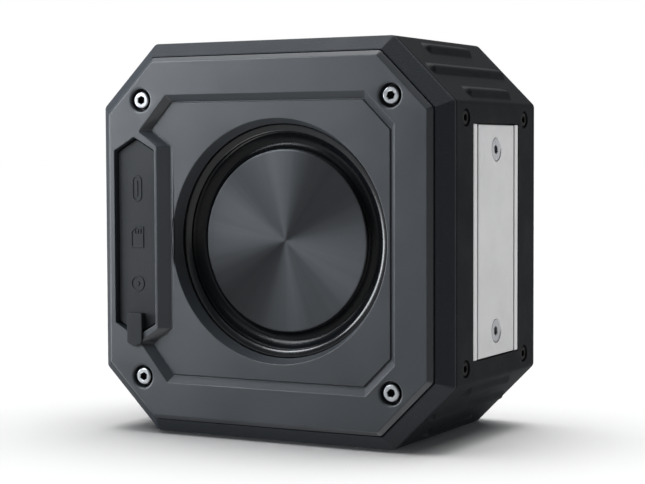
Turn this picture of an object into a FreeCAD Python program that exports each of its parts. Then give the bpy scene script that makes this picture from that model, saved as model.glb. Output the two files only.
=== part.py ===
import FreeCAD, Part
import math
import os
import re
import Sketcher

# Portable Bluetooth speaker: an octagonal block in a rubber jacket, with a passive radiator and a port
# cover on its rear (-Y), a loudspeaker behind a perforated grille on its front (+Y), four buttons on top
# and a pot magnet let into its right side (+X). Millimetres, +Z up, origin on the floor under the centre.

Vector = FreeCAD.Vector
Rotation = FreeCAD.Rotation
document = FreeCAD.newDocument("Speaker")
sheet = document.addObject("Spreadsheet::Sheet", "Size")

DIMENSIONS = [
    # the octagonal case: "half" is half the distance across two flats, "level" a distance from mid-depth
    ("width", 100, "across the flats, and the height"),
    ("corner", 16, "legs of each cut corner"),
    ("middle", 50, "height of the centre line"),
    ("ridge", 25.5, "level where the bevel starts"),
    ("face", 30.7, "level of the two faces"),
    ("bevel_run", 4.9, "how far the bevel comes in from ridge to face"),
    ("sleeve_half", 47.8, "half across the inside of the rubber sleeve"),
    ("sleeve_level", 24.2, "level of the sleeve's ends"),
    ("shell_half", 44.8, "half across the inside of the shell"),
    ("shell_level", 24.4, "level of the shell's ends"),
    ("rib_tall", 0.8, "grip ribs stand this far out"),
    ("rib_wide", 3.2, "grip rib across its foot"),
    ("rib_pitch", 7.65, "from one grip rib to the next"),
    ("rib_half_long", 22.5, "half the length of a middle grip rib"),
    ("rib_half_short", 13.5, "half the length of an outer grip rib"),
    # bumpers, rear panel and front baffle
    ("bumper_half", 46.4, "half across the inside of a bumper"),
    ("bumper_level", 29.0, "level of the bumper's outer lip"),
    ("panel_half", 46.2, "half across the panel"),
    ("panel_bevel", 1.1, "the panel's own edge bevel"),
    ("rim_half", 45.2, "half across the inside of the panel's rim"),
    ("rim_level", 25.2, "level of the rim's end"),
    ("back_level", 25.9, "level of the panel's back"),
    ("core_level", 28.2, "bottom level of the pockets that thin the border"),
    ("core_out", 44.0, "outer edge of those pockets"),
    ("core_in", 38.8, "inner edge of those pockets"),
    ("core_half", 27.0, "half length of those pockets"),
    ("field_level", 28.9, "level of the sunk field round the radiator"),
    ("field_half", 35.2, "half across the field's floor"),
    ("field_corner", 27.8, "where the field's cut corners start"),
    ("field_run", 1.5, "run of the field's sloping edge"),
    ("notch_floor", 28.1, "field floor beside the port recess, from the centre"),
    ("notch_top", 30.7, "top of the slope beside the port recess"),
    ("notch_half", 23.3, "half height of the notch at the field floor"),
    ("notch_out", 34.0, "outer point of the field above and below the notch"),
    ("notch_rise", 27.35, "half height of the notch at that point"),
    # case screws
    ("screw_place", 35.5, "case screws from the centre, both ways"),
    ("screw_head_radius", 2.25, "M2.5 socket head"),
    ("screw_head_tall", 2.4, "height of that head"),
    ("screw_radius", 1.25, "M2.5 shank"),
    ("screw_long", 8.0, "shank length"),
    ("screw_hex", 1.16, "corner radius of the 2 mm hexagon socket"),
    ("counterbore_radius", 3.15, "counterbore of a case screw"),
    ("rear_seat", 27.9, "level that the rear heads sit on"),
    ("front_seat", 27.1, "level that the front heads sit on"),
    ("post_radius", 4.2, "corner post of the shell"),
    ("post_long", 13.0, "length of a corner post"),
    ("insert_radius", 2.0, "brass insert for M2.5"),
    ("insert_long", 5.0, "length of that insert"),
    ("fit", 0.05, "play round a pressed or screwed part"),
    # the small M2 screws inside and beside the magnet
    ("screw_bore", 1.05, "hole that an M2 screw cuts its thread in"),
    ("clearance", 1.15, "hole that an M2 screw passes through"),
    ("small_radius", 1.0, "M2 shank"),
    ("small_long", 4.2, "shank length"),
    ("small_head", 1.8, "head radius"),
    ("small_head_tall", 1.2, "head height"),
    ("small_hex", 0.9, "corner radius of the hexagon socket"),
    # inside the shell
    ("stand_radius", 2.6, "stands of the main board"),
    ("button_stand_radius", 2.2, "stands of the button board"),
    ("backing_half_wide", 22.0, "half width of the thick wall behind the magnet"),
    ("backing_half_tall", 34.0, "half height of that wall"),
    ("backing_thick", 5.5, "that wall's thickness behind the magnet"),
    ("microphone_place", 5.0, "microphone from mid-depth"),
    ("microphone_hole", 0.7, "hole over the microphone"),
    # passive radiator, turned about a Y axis
    ("radiator_place", 3.4, "radiator axis from the centre, towards +X"),
    ("throat_radius", 30.5, "mouth of the opening in the panel"),
    ("throat_radius_back", 29.26, "that opening at the panel's back"),
    ("trim_radius", 29.1, "outer edge of the trim ring"),
    ("trim_bore", 27.2, "inner edge of the trim ring"),
    ("trim_seat", 24.2, "level of the surround's flange, which the trim ring clamps"),
    ("trim_inner_level", 24.6, "level of the trim ring's inner edge"),
    ("disc_radius", 22.9, "radiator disc"),
    ("disc_level", 24.4, "level of the disc's face"),
    ("disc_back", 23.4, "level of the disc's back"),
    ("disc_edge", 0.4, "rounded edge of the disc"),
    ("surround_thick", 0.6, "rubber of the surround"),
    ("surround_roll", 2.4, "radius of its roll"),
    ("surround_bore", 20.6, "inner edge of its flange under the disc"),
    ("carrier_level", 21.8, "level of the carrier's back"),
    ("weight_radius", 9.0, "tuning weight"),
    ("weight_level", 18.8, "level of the weight's back"),
    ("radiator_flange", 36.5, "radiator frame"),
    ("frame_level", 25.4, "level of the frame's face"),
    ("frame_back", 23.4, "level of the flange's back"),
    ("frame_skirt", 21.6, "level that the frame's skirt reaches"),
    ("radiator_screw_place", 34.2, "radiator screws from its axis"),
    # port recess and its cover
    ("port_place", 37.55, "port recess from the centre, towards -X"),
    ("port_height", 50.4, "height of its centre"),
    ("port_half_wide", 6.15, "half width of the recess"),
    ("port_shoulder", 22.3, "half height of its straight sides"),
    ("port_apex", 25.75, "half height to its points"),
    ("port_floor", 27.0, "level of its floor"),
    ("cover_level", 29.5, "level of the cover's face"),
    ("cover_back", 27.3, "level of the cover's back"),
    ("cover_play", 0.5, "gap round the cover"),
    ("hinge_height", 20.05, "cover hinge above the recess centre"),
    ("web_half", 0.25, "half height of the hinge's thin web"),
    ("web_thick", 0.3, "thickness of that web"),
    ("tab_half", 2.3, "half width of the pull tab"),
    ("tab_start", 19.5, "upper end of the tab, below the recess centre"),
    ("tab_riser", 23.6, "lower end of the block that the tab stands on"),
    ("tab_shoulder", 27.3, "lower end of the tab's straight sides"),
    ("tab_tip", 28.3, "point of the tab"),
    ("tab_level", 31.4, "level of the tab's top"),
    ("tab_thick", 0.6, "thickness of the tab"),
    ("usb_height", 12.5, "USB-C port above the recess centre"),
    ("usb_place", 1.6, "USB-C port from the board's face"),
    ("usb_half_long", 4.5, "half length of the USB-C shell"),
    ("usb_half_wide", 1.6, "half width of the USB-C shell"),
    ("usb_wall", 0.3, "sheet of the USB-C shell"),
    ("card_half_long", 7.0, "half length of the card socket"),
    ("card_thick", 1.7, "thickness of the card socket"),
    ("jack_height", -12.0, "line-in jack above the recess centre"),
    ("jack_place", 2.9, "jack axis from the board's face"),
    ("jack_half", 3.1, "half width of the jack's body"),
    ("jack_radius", 2.9, "barrel of the jack"),
    ("jack_bore", 1.8, "hole for a 3.5 mm plug"),
    # pot magnet in the +X side
    ("magnet_half_wide", 14.15, "half width of the steel channel, along Y"),
    ("magnet_half_tall", 28.7, "half height of the channel and bar"),
    ("magnet_seat", 46.0, "bottom of the channel, from the centre"),
    ("bar_half_wide", 11.5, "half width of the magnet bar"),
    ("slot_half_wide", 12.05, "half width inside the channel"),
    ("channel_thick", 1.0, "steel of the channel"),
    ("magnet_screw_place", 22.6, "magnet screws above and below the centre"),
    ("magnet_screw_head", 2.8, "M3 countersunk head"),
    ("magnet_screw_radius", 1.5, "M3 shank"),
    ("magnet_screw_long", 8.0, "length of that screw"),
    ("magnet_screw_hex", 1.16, "corner radius of its 2 mm hexagon socket"),
    ("magnet_insert_radius", 2.5, "brass insert for M3"),
    ("magnet_insert_long", 4.8, "length of that insert"),
    ("side_screw_depth", 18.6, "side screws from mid-depth"),
    ("side_screw_rise", 30.2, "side screws above and below the centre"),
    ("side_head", 1.9, "head radius of a side screw"),
    ("side_head_tall", 1.9, "head height of a side screw"),
    ("side_recess", 2.2, "recess round that head"),
    ("side_long", 5.0, "shank length of a side screw"),
    # loudspeaker, turned about a Y axis through the centre
    ("driver_flange", 28.5, "driver basket"),
    ("driver_level", 25.4, "level of the basket's face"),
    ("flange_level", 23.9, "level of the flange's back"),
    ("driver_mouth", 24.3, "opening in the baffle"),
    ("driver_screw_place", 26.7, "driver screws from its axis"),
    ("basket_wall", 24.6, "outer radius of the basket under its flange"),
    ("basket_inside", 22.7, "inner radius of the basket under its flange"),
    ("basket_seat", 24.4, "level that the surround's flange sits on"),
    ("basket_foot", 19.4, "outer radius of the basket's back"),
    ("basket_bore", 13.0, "hole in the basket's back"),
    ("window_half", 7.5, "half width of the basket's windows"),
    ("window_low", 13.5, "level where the windows start"),
    ("window_high", 20.5, "level where the windows end"),
    ("tag_out", 22.5, "the driver's tag strip reaches this far from its axis"),
    ("tag_low", 5.5, "tag strip below the axis"),
    ("cone_rim", 19.2, "outer radius of the cone's lip"),
    ("cone_lip", 0.5, "thickness of that lip"),
    ("cone_neck", 10.4, "radius of the cone's neck"),
    ("cone_neck_level", 13.0, "level of that neck"),
    ("roll_out", 22.8, "outer radius of the driver surround's roll"),
    ("roll_radius", 1.95, "radius of that roll"),
    ("flange_out", 24.2, "outer radius of the driver surround"),
    ("dust_radius", 10.9, "dust cap inside"),
    ("dust_rise", 2.8, "rise of the dust cap"),
    ("dust_top", 18.6, "level of its top"),
    ("dust_thick", 0.5, "thickness of the dust cap at its top"),
    ("coil_inside", 9.75, "voice coil, inner radius"),
    ("coil_outside", 10.35, "voice coil, outer radius"),
    ("coil_low", 2.5, "level of the coil's lower end"),
    ("coil_high", 13.9, "level of the coil's upper end"),
    ("spider_level", 12.0, "level of the spider"),
    ("spider_thick", 0.4, "thickness of the spider"),
    ("spider_wave", 1.4, "radius of the spider's waves"),
    ("spider_step", 1.97, "width of one wave"),
    ("spider_out", 17.9, "outer radius of the spider"),
    ("gap_level", 9.5, "level of the top plate's face and the pole's end"),
    ("gap_outside", 10.8, "bore of the top plate"),
    ("pole_radius", 9.3, "pole of the yoke"),
    ("top_plate_radius", 16.5, "top plate"),
    ("top_plate_thick", 2.0, "thickness of the top plate"),
    ("ferrite_radius", 18.5, "magnet ring"),
    ("ferrite_bore", 11.5, "hole in the magnet ring"),
    ("ferrite_thick", 7.0, "thickness of the magnet ring"),
    ("yoke_radius", 17.5, "back plate of the yoke"),
    ("yoke_thick", 3.0, "thickness of that plate"),
    ("grille_half", 43.8, "half across the grille"),
    ("grille_sunk", 44.0, "half across the grille's recess"),
    ("grille_floor", 28.6, "level of that recess"),
    ("grille_level", 30.4, "level of the grille's face"),
    ("grille_thick", 0.6, "grille sheet"),
    ("hole_radius", 1.4, "grille hole"),
    ("hole_pitch", 4.6, "grille holes, centre to centre"),
    ("hole_field", 37.0, "radius that the holes fill"),
    # buttons on top
    ("button_pitch", 17.0, "from one button to the next"),
    ("button_radius", 4.6, "button"),
    ("button_top", 99.8, "height of a button's top"),
    ("button_hole", 4.9, "hole round a button"),
    ("button_stem", 1.6, "stem under a button"),
    ("board_low", 87.0, "underside of the button board"),
    ("board_thick", 1.6, "both circuit boards"),
    ("board_half_long", 30.5, "half length of the button board"),
    ("board_half_wide", 7.0, "half width of the button board"),
    # battery and main board
    ("cell_radius", 9.2, "18650 cell"),
    ("cell_half", 32.5, "half length of the cell"),
    ("cell_height", 16.2, "height of the cell's axis"),
    ("cell_depth", -2.0, "cell axis, along Y"),
    ("cell_play", 0.2, "play round the cell in its holder"),
    ("cradle_half", 31.0, "half length of the holder"),
    ("cradle_tall", 7.0, "height of the holder"),
    ("strap_half", 5.0, "half width of the strap"),
    ("strap_thick", 1.3, "thickness of the strap"),
    ("main_board_face", -39.1, "component side of the main board, along X"),
    ("main_board_half", 30.0, "half height of the main board"),
    ("board_screw_rise", 24.0, "main board screws above and below the centre"),
    ("lead_radius", 0.6, "insulated wire"),
    ("lead_bend", 2.4, "bend radius of the wires"),
]

for row, (alias, value, meaning) in enumerate(DIMENSIONS, 1):
    sheet.set(f"A{row}", alias)
    sheet.set(f"B{row}", str(value))
    sheet.set(f"C{row}", meaning)
    sheet.setAlias(f"B{row}", alias)
document.recompute()

ALIASES = {alias for alias, value, meaning in DIMENSIONS}
parts = []

REAR = -1
FRONT = 1
CORNERS = [(-1, -1), (1, -1), (1, 1), (-1, 1)]
ALONG = {
    "X": Rotation(Vector(0, 1, 0), 90),
    "Y": Rotation(Vector(1, 0, 0), -90),
    "Z": Rotation(),
}


# ---------------------------------------------------------------- expressions

def linked(text):
    """The same expression with the sheet's name before each of its aliases."""
    return re.sub(r"[a-z_]+", lambda m: "Size." + m.group() if m.group() in ALIASES else m.group(), str(text))


def number(text):
    """What an expression comes to."""
    value = sheet.evalExpression(linked(text))
    return float(getattr(value, "Value", value))


def bind(item, name, text):
    item.setExpression(name, linked(text))


def move(item, x, y, z):
    for axis, text in zip("xyz", (x, y, z)):
        bind(item, f".Placement.Base.{axis}", text)


def sub_part(label, item):
    """Names a finished sub-part; its file is named after it."""
    item.Label = label
    parts.append(item)
    return item


# ---------------------------------------------------------------- primitives and booleans

def block(name, x, y, z):
    """Box between two expressions on each axis."""
    item = document.addObject("Part::Box", name)
    for size, axis, (low, high) in (("Length", "x", x), ("Width", "y", y), ("Height", "z", z)):
        bind(item, size, f"({high}) - ({low})")
        bind(item, f".Placement.Base.{axis}", low)
    return item


def around(place, reach):
    """The span that reaches equally far to both sides of a place."""
    return (f"({place}) - ({reach})", f"({place}) + ({reach})")


def rod(name, axis, radius, span, centre):
    """Cylinder along an axis; centre is its place on the two other axes, in x, y, z order."""
    item = document.addObject("Part::Cylinder", name)
    bind(item, "Radius", radius)
    set_along(item, axis, span, centre)
    return item


def cone(name, axis, radii, span, centre):
    item = document.addObject("Part::Cone", name)
    bind(item, "Radius1", radii[0])
    bind(item, "Radius2", radii[1])
    set_along(item, axis, span, centre)
    return item


def set_along(item, axis, span, centre):
    item.Placement = FreeCAD.Placement(Vector(), ALONG[axis])
    bind(item, "Height", f"({span[1]}) - ({span[0]})")
    place = list(centre)
    place.insert("XYZ".index(axis), span[0])
    move(item, *place)


def fuse(name, pieces):
    item = document.addObject("Part::MultiFuse", name)
    item.Shapes = pieces
    return item


def cut(name, base, tools):
    item = document.addObject("Part::Cut", name)
    item.Base = base
    item.Tool = tools[0] if len(tools) == 1 else fuse(name + "Tools", tools)
    return item


def group(name, pieces):
    """Separate solids that share one sub-part."""
    item = document.addObject("Part::Compound", name)
    item.Links = pieces
    return item


def copies(name, piece, turn, places):
    """The same piece at several places, turned the same way."""
    made = []
    for index, place in enumerate(places):
        item = group(f"{name}Copy{index}", [piece])
        item.Placement = FreeCAD.Placement(Vector(), turn)
        move(item, *place)
        made.append(item)
    return group(name, made)


# ---------------------------------------------------------------- sketches and bodies

def new_body(name):
    return document.addObject("PartDesign::Body", name)


def sketch_on(body, name, role, offset):
    """Sketch on one of the body's own origin planes, moved along the plane's normal."""
    sketch = body.newObject("Sketcher::SketchObject", name)
    plane = next(feature for feature in body.Origin.OriginFeatures if feature.Role == role)
    sketch.AttachmentSupport = [(plane, "")]
    sketch.MapMode = "FlatFace"
    bind(sketch, ".AttachmentOffset.Base.z", offset)
    return sketch


def constrain(sketch, kind, where, text):
    index = sketch.addConstraint(Sketcher.Constraint(kind, *where, number(text)))
    sketch.setExpression(f"Constraints[{index}]", linked(text))


def arc_between(first, last, radius):
    """Short arc; a positive radius bulges to the right on the way from first to last."""
    half = (last - first) * 0.5
    left = Vector(-half.y, half.x, 0).normalize()
    reach = math.sqrt(radius * radius - half.Length ** 2)
    centre = first + half + left * math.copysign(reach, radius)
    start, end = (first, last) if radius > 0 else (last, first)
    angles = [math.atan2(point.y - centre.y, point.x - centre.x) for point in (start, end)]
    return Part.ArcOfCircle(Part.Circle(centre, Vector(0, 0, 1), abs(radius)), *angles)


def draw_outline(sketch, corners):
    """Closed outline. Each corner is held by its two distances from the origin. A third entry is the
    radius of the arc that leads on from that corner."""
    spots = [Vector(number(corner[0]), number(corner[1]), 0) for corner in corners]
    ends = []
    first_index = sketch.GeometryCount
    for index, corner in enumerate(corners):
        start, end = spots[index], spots[(index + 1) % len(spots)]
        if len(corner) == 2:
            sketch.addGeometry(Part.LineSegment(start, end))
            ends.append((1, 2))
        else:
            radius = number(corner[2])
            sketch.addGeometry(arc_between(start, end, radius))
            ends.append((1, 2) if radius > 0 else (2, 1))
    for index, corner in enumerate(corners):
        here = first_index + index
        following = (index + 1) % len(corners)
        joint = (here, ends[index][1], first_index + following, ends[following][0])
        sketch.addConstraint(Sketcher.Constraint("Coincident", *joint))
        constrain(sketch, "DistanceX", (-1, 1, here, ends[index][0]), corner[0])
        constrain(sketch, "DistanceY", (-1, 1, here, ends[index][0]), corner[1])
        if len(corner) == 3:
            constrain(sketch, "Radius", (here,), f"abs({corner[2]})")


def draw_circle(sketch, x, y, radius):
    centre = Vector(number(x), number(y), 0)
    index = sketch.addGeometry(Part.Circle(centre, Vector(0, 0, 1), number(radius)))
    constrain(sketch, "DistanceX", (-1, 1, index, 3), x)
    constrain(sketch, "DistanceY", (-1, 1, index, 3), y)
    constrain(sketch, "Radius", (index,), radius)


def octagon(half):
    """The case's outline drawn in so that it is `half` from the centre to each flat."""
    cut_corner = f"(width / 2 - corner - (width / 2 - ({half})) * (sqrt(2) - 1))"
    corners = [(half, f"-{cut_corner}"), (half, cut_corner), (cut_corner, half), (f"-{cut_corner}", half)]
    corners += [(f"-({x})", f"-({y})") for x, y in corners]
    return [(x, f"middle + ({y})") for x, y in corners]


def rectangle(x, z):
    return [(x[0], z[0]), (x[1], z[0]), (x[1], z[1]), (x[0], z[1])]


def extrude(body, kind, name, outlines, start, end, taper=None):
    """Pad or pocket of flat outlines from depth y = start to y = end."""
    sketch = sketch_on(body, name + "Sketch", "XZ_Plane", f"-({start})")
    for outline in outlines:
        if isinstance(outline, tuple):
            draw_circle(sketch, *outline)
        else:
            draw_outline(sketch, outline)
    feature = body.newObject("PartDesign::" + kind, name)
    feature.Profile = sketch
    bind(feature, "Length", f"abs(({end}) - ({start}))")
    towards_rear = number(end) < number(start)
    # The sketch faces -Y: a pad runs with it and a pocket against it.
    feature.Reversed = towards_rear if kind == "Pocket" else not towards_rear
    if taper:
        bind(feature, "TaperAngle", taper)
    body.Tip = feature
    return feature


def pad(body, name, outlines, start, end, taper=None):
    return extrude(body, "Pad", name, outlines, start, end, taper)


def pocket(body, name, outlines, start, end, taper=None):
    return extrude(body, "Pocket", name, outlines, start, end, taper)


def turned(name, corners, x, z):
    """Solid turned about the Y axis through (x, z), from an outline of (radius, y) corners."""
    body = new_body(name)
    sketch = sketch_on(body, name + "Sketch", "XY_Plane", "0")
    draw_outline(sketch, corners)
    feature = body.newObject("PartDesign::Revolution", name + "Turn")
    feature.Profile = sketch
    feature.ReferenceAxis = (sketch, ["V_Axis"])
    feature.Angle = 360
    body.Tip = feature
    move(body, x, "0", z)
    return body


def at_corners(place):
    """Four places, the same distance from the centre both ways."""
    return [(f"{side} * ({place})", f"middle + {rise} * ({place})") for side, rise in CORNERS]


def round_axis(x, z, radius):
    """Four places on a circle, on its diagonals."""
    reach = f"({radius}) * sqrt(0.5)"
    return [(f"{x} + {side} * {reach}", f"{z} + {rise} * {reach}") for side, rise in CORNERS]


# ---------------------------------------------------------------- screws

def cap_screw(name, head_radius, head, radius, length, socket):
    """Socket head screw: head up along +Z from the origin, shank down."""
    body = fuse(name + "Solid", [
        rod(name + "Head", "Z", head_radius, ("0", head), ("0", "0")),
        rod(name + "Shank", "Z", radius, (f"-({length})", "0"), ("0", "0")),
    ])
    key = document.addObject("Part::Prism", name + "Socket")
    key.Polygon = 6
    bind(key, "Circumradius", socket)
    bind(key, "Height", head)
    bind(key, ".Placement.Base.z", f"({head}) * 0.4")
    return cut(name, body, [key])


def countersunk_screw(name, head_radius, radius, length, socket):
    """Flat-headed screw whose top is at the origin, shank down along -Z."""
    depth = f"({head_radius}) - ({radius})"
    body = fuse(name + "Solid", [
        cone(name + "Head", "Z", (radius, head_radius), (f"-({depth})", "0"), ("0", "0")),
        rod(name + "Shank", "Z", radius, (f"-({length})", f"-({depth})"), ("0", "0")),
    ])
    key = document.addObject("Part::Prism", name + "Socket")
    key.Polygon = 6
    bind(key, "Circumradius", socket)
    bind(key, "Height", depth)
    bind(key, ".Placement.Base.z", f"-({depth}) * 0.7")
    return cut(name, body, [key])


FACING = {
    REAR: Rotation(Vector(1, 0, 0), 90),
    FRONT: Rotation(Vector(1, 0, 0), -90),
    "RIGHT": Rotation(Vector(0, 1, 0), 90),
    "DOWN": Rotation(Vector(1, 0, 0), 180),
}


# ---------------------------------------------------------------- case

def button_places():
    return [f"{step} * button_pitch" for step in (-1.5, -0.5, 0.5, 1.5)]


def side_screw_places():
    return [(f"{depth} * side_screw_depth", f"middle + {rise} * side_screw_rise") for depth, rise in CORNERS]


def main_board_screw_places():
    depths = ("-18", "11")
    return [(depth, f"middle + {rise} * board_screw_rise") for depth in depths for rise in (-1, 1)]


def make_housing_shell():
    body = new_body("ShellBody")
    pad(body, "ShellTube", [octagon("sleeve_half"), octagon("shell_half")], "shell_level", "-shell_level")
    posts = [(x, z, "post_radius") for x, z in at_corners("screw_place")]
    for side, word in ((REAR, "Rear"), (FRONT, "Front")):
        pad(body, f"{word}Posts", posts, f"{side} * (back_level - post_long)", f"{side} * back_level")
        bores = [(x, z, "insert_radius + fit") for x, z in at_corners("screw_place")]
        pocket(body, f"{word}Bores", bores, f"{side} * back_level", f"{side} * (back_level - post_long + 4)")
    inner_top = "middle + shell_half"
    depth = ("magnet_seat - backing_thick", "shell_half + 0.5")
    backing_face = (around("0", "backing_half_wide"), around("middle", "backing_half_tall"))
    solids = [body, block("MagnetBacking", depth, *backing_face)]
    tools = [
        block("MagnetSeat", ("magnet_seat", "width / 2"), around("0", "magnet_half_wide + 0.15"),
              around("middle", "magnet_half_tall + 0.2")),
    ]
    for index, rise in enumerate((-1, 1)):
        height = f"middle + {rise} * magnet_screw_place"
        span = ("magnet_seat - magnet_insert_long - 0.2", "magnet_seat")
        tools.append(rod(f"MagnetInsertBore{index}", "X", "magnet_insert_radius + fit", span, ("0", height)))
    for index, (y, z) in enumerate(side_screw_places()):
        span = ("sleeve_half - side_long - 0.5", "sleeve_half")
        tools.append(rod(f"SideScrewBore{index}", "X", "screw_bore", span, (y, z)))
    for index, (y, z) in enumerate(main_board_screw_places()):
        span = ("-shell_half - 0.5", "main_board_face - board_thick")
        solids.append(rod(f"BoardStand{index}", "X", "stand_radius", span, (y, z)))
        tools.append(rod(f"BoardStandBore{index}", "X", "screw_bore", ("-shell_half + 0.3", span[1]), (y, z)))
    for index, side in enumerate((-1, 1)):
        place = (f"{side} * button_pitch", "0")
        span = ("board_low + board_thick", f"{inner_top} + 0.5")
        solids.append(rod(f"ButtonStand{index}", "Z", "button_stand_radius", span, place))
        bore_span = (span[0], f"{inner_top} - 0.5")
        tools.append(rod(f"ButtonStandBore{index}", "Z", "screw_bore", bore_span, place))
    span = (f"{inner_top} - 1", "width")
    for index, x in enumerate(button_places()):
        tools.append(rod(f"ShellButtonHole{index}", "Z", "button_hole", span, (x, "0")))
    tools.append(rod("MicrophoneHole", "Z", "microphone_hole", span, ("0", "microphone_place")))
    sub_part("housing_shell", cut("HousingShell", fuse("ShellSolid", solids), tools))


def rib_outline(side, rise, step):
    """Section of a grip rib on one cut corner: step -1, 0 or 1 counts ribs along the corner face."""
    flank = 0.6
    edge = "(width / 2 - corner / 2)"
    corners = []
    for along, out in ((-0.5, -0.1), (0.5, -0.1), (0.5, 0), (0.5, 1), (-0.5, 1), (-0.5, 0)):
        wide = f"{along} * (rib_wide - {flank * 2 if out == 1 else 0})"
        slide = f"({wide} + {step} * rib_pitch) * sqrt(0.5)"
        lift = f"({out} * rib_tall) * sqrt(0.5)"
        across = f"{side} * ({edge} + {lift} + {slide})"
        corners.append((across, f"middle + {rise} * ({edge} + {lift} - ({slide}))"))
    return corners


def make_side_sleeve():
    body = new_body("SleeveBody")
    pad(body, "SleeveTube", [octagon("width / 2"), octagon("sleeve_half")], "sleeve_level", "-sleeve_level")
    for word, steps, reach in (("Middle", (0,), "rib_half_long"), ("Outer", (-1, 1), "rib_half_short")):
        ribs = [rib_outline(side, rise, step) for side, rise in CORNERS for step in steps]
        pad(body, f"{word}Ribs", ribs, reach, f"-{reach}")
    tools = [
        block("MagnetWindow", ("sleeve_half - 1", "width"), around("0", "magnet_half_wide + 0.25"),
              around("middle", "magnet_half_tall + 0.3")),
    ]
    for index, (y, z) in enumerate(side_screw_places()):
        tools.append(rod(f"SideScrewHole{index}", "X", "side_recess", ("sleeve_half - 1", "width"), (y, z)))
    span = ("middle + sleeve_half - 1", "width + 1")
    for index, x in enumerate(button_places()):
        tools.append(rod(f"SleeveButtonHole{index}", "Z", "button_hole", span, (x, "0")))
    tools.append(rod("SleeveMicrophoneHole", "Z", "microphone_hole", span, ("0", "microphone_place")))
    sub_part("side_sleeve", cut("SideSleeve", body, tools))


def make_bumper(label, name, side):
    """Rubber edge: a short straight band, then a bevel to the outer lip."""
    body = new_body(name)
    outline = [octagon("width / 2")]
    pad(body, name + "Band", outline, f"{side} * shell_level", f"{side} * ridge")
    slope = "-atan(bevel_run / (face - ridge))"
    pad(body, name + "Bevel", outline, f"{side} * ridge", f"{side} * bumper_level", slope)
    pocket(body, name + "Inside", [octagon("bumper_half")], f"{side} * face", f"{side} * shell_level")
    sub_part(label, body)


def panel_blank(name, side):
    """Octagonal panel with a bevelled edge outside and a rim inside."""
    body = new_body(name)
    outline = [octagon("panel_half")]
    bevel_level = "(face - panel_bevel)"
    pad(body, name + "Plate", outline, f"{side} * rim_level", f"{side} * {bevel_level}")
    pad(body, name + "Edge", outline, f"{side} * {bevel_level}", f"{side} * face", "-45")
    pocket(body, name + "Rim", [octagon("rim_half")], f"{side} * rim_level", f"{side} * back_level")
    return body


def screw_holes(body, name, side, seat):
    heads = [(x, z, "counterbore_radius") for x, z in at_corners("screw_place")]
    shanks = [(x, z, "screw_radius + 0.15") for x, z in at_corners("screw_place")]
    pocket(body, name + "Counterbores", heads, f"{side} * face", f"{side} * {seat}")
    pocket(body, name + "ScrewHoles", shanks, f"{side} * {seat}", f"{side} * back_level")


def field_outline(run, notch, level_rise):
    """The sunk field round the radiator, `run` larger than its floor; it steps in beside the port."""
    half = f"(field_half + {run})"
    start = f"(field_corner + {run} * 0.667)"
    left_start = f"(field_corner - 0.6 + {run} * 0.467)"
    out = f"(notch_out + {run} * 1.467)"
    rise = f"(notch_rise - {run} * 0.2)"
    corners = [(start, half), (half, start), (half, f"-{start}"), (start, f"-{half}")]
    corners.append((f"-{left_start}", f"-{half}"))
    corners = [(x, f"middle + {z}") for x, z in corners]
    corners += [
        (f"-{out}", f"port_height - {rise}"),
        (f"-{notch}", f"port_height - {level_rise}"),
        (f"-{notch}", f"port_height + {level_rise}"),
        (f"-{out}", f"port_height + {rise}"),
        (f"-{left_start}", f"middle + {half}"),
    ]
    return corners


def port_outline(play):
    """The port recess: an upright hexagon with shallow points, `play` smaller all round."""
    half = f"(port_half_wide - {play})"
    corners = []
    # The lower end from left to right, then the upper end from right to left.
    for side in (-1, 1):
        shoulder = f"port_height + {side} * (port_shoulder - {play} * 0.8)"
        tip = f"port_height + {side} * (port_apex - {play} * 1.1)"
        corners += [
            (f"-port_place + {side} * {half}", shoulder),
            ("-port_place", tip),
            (f"-port_place - {side} * {half}", shoulder),
        ]
    return corners


def make_rear_panel():
    body = panel_blank("PanelBody", REAR)
    reach = around("middle", "core_half")
    cores = [
        rectangle(around("0", "core_half"), ("middle + core_in", "middle + core_out")),
        rectangle(around("0", "core_half"), ("middle - core_out", "middle - core_in")),
        rectangle(("core_in", "core_out"), reach),
    ]
    pocket(body, "PanelCores", cores, "-back_level", "-core_level")
    field = body.newObject("PartDesign::SubtractiveLoft", "PanelField")
    top = sketch_on(body, "FieldTop", "XZ_Plane", "face")
    draw_outline(top, field_outline("field_run", "notch_top", "(notch_half - 0.05)"))
    floor = sketch_on(body, "FieldFloor", "XZ_Plane", "field_level")
    draw_outline(floor, field_outline("0", "notch_floor", "notch_half"))
    field.Profile = top
    field.Sections = [floor]
    field.Ruled = True
    body.Tip = field
    pocket(body, "PortRecess", [port_outline("0")], "-face", "-port_floor")
    screw_holes(body, "Panel", REAR, "rear_seat")
    surface = "main_board_face"
    card_width = (f"{surface} - 0.2", f"{surface} + card_thick + 0.2")
    mouths = [
        rectangle(around(f"{surface} + usb_place", "usb_half_wide + 0.2"),
                  around("port_height + usb_height", "usb_half_long + 0.2")),
        rectangle(card_width, around("port_height", "card_half_long + 0.2")),
        (f"{surface} + jack_place", "port_height + jack_height", "jack_radius + 0.2"),
    ]
    pocket(body, "PortMouths", mouths, "-port_floor", "-back_level")
    radii = ("throat_radius", "throat_radius_back")
    throat = cone("RadiatorThroat", "Y", radii, ("-field_level", "-back_level"), ("radiator_place", "middle"))
    span = ("-back_level - 2.3", "-back_level")
    pilots = []
    for index, place in enumerate(round_axis("radiator_place", "middle", "radiator_screw_place")):
        pilots.append(rod(f"RadiatorPilot{index}", "Y", "screw_bore", span, place))
    sub_part("rear_panel", cut("RearPanel", body, [throat] + pilots))


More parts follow.
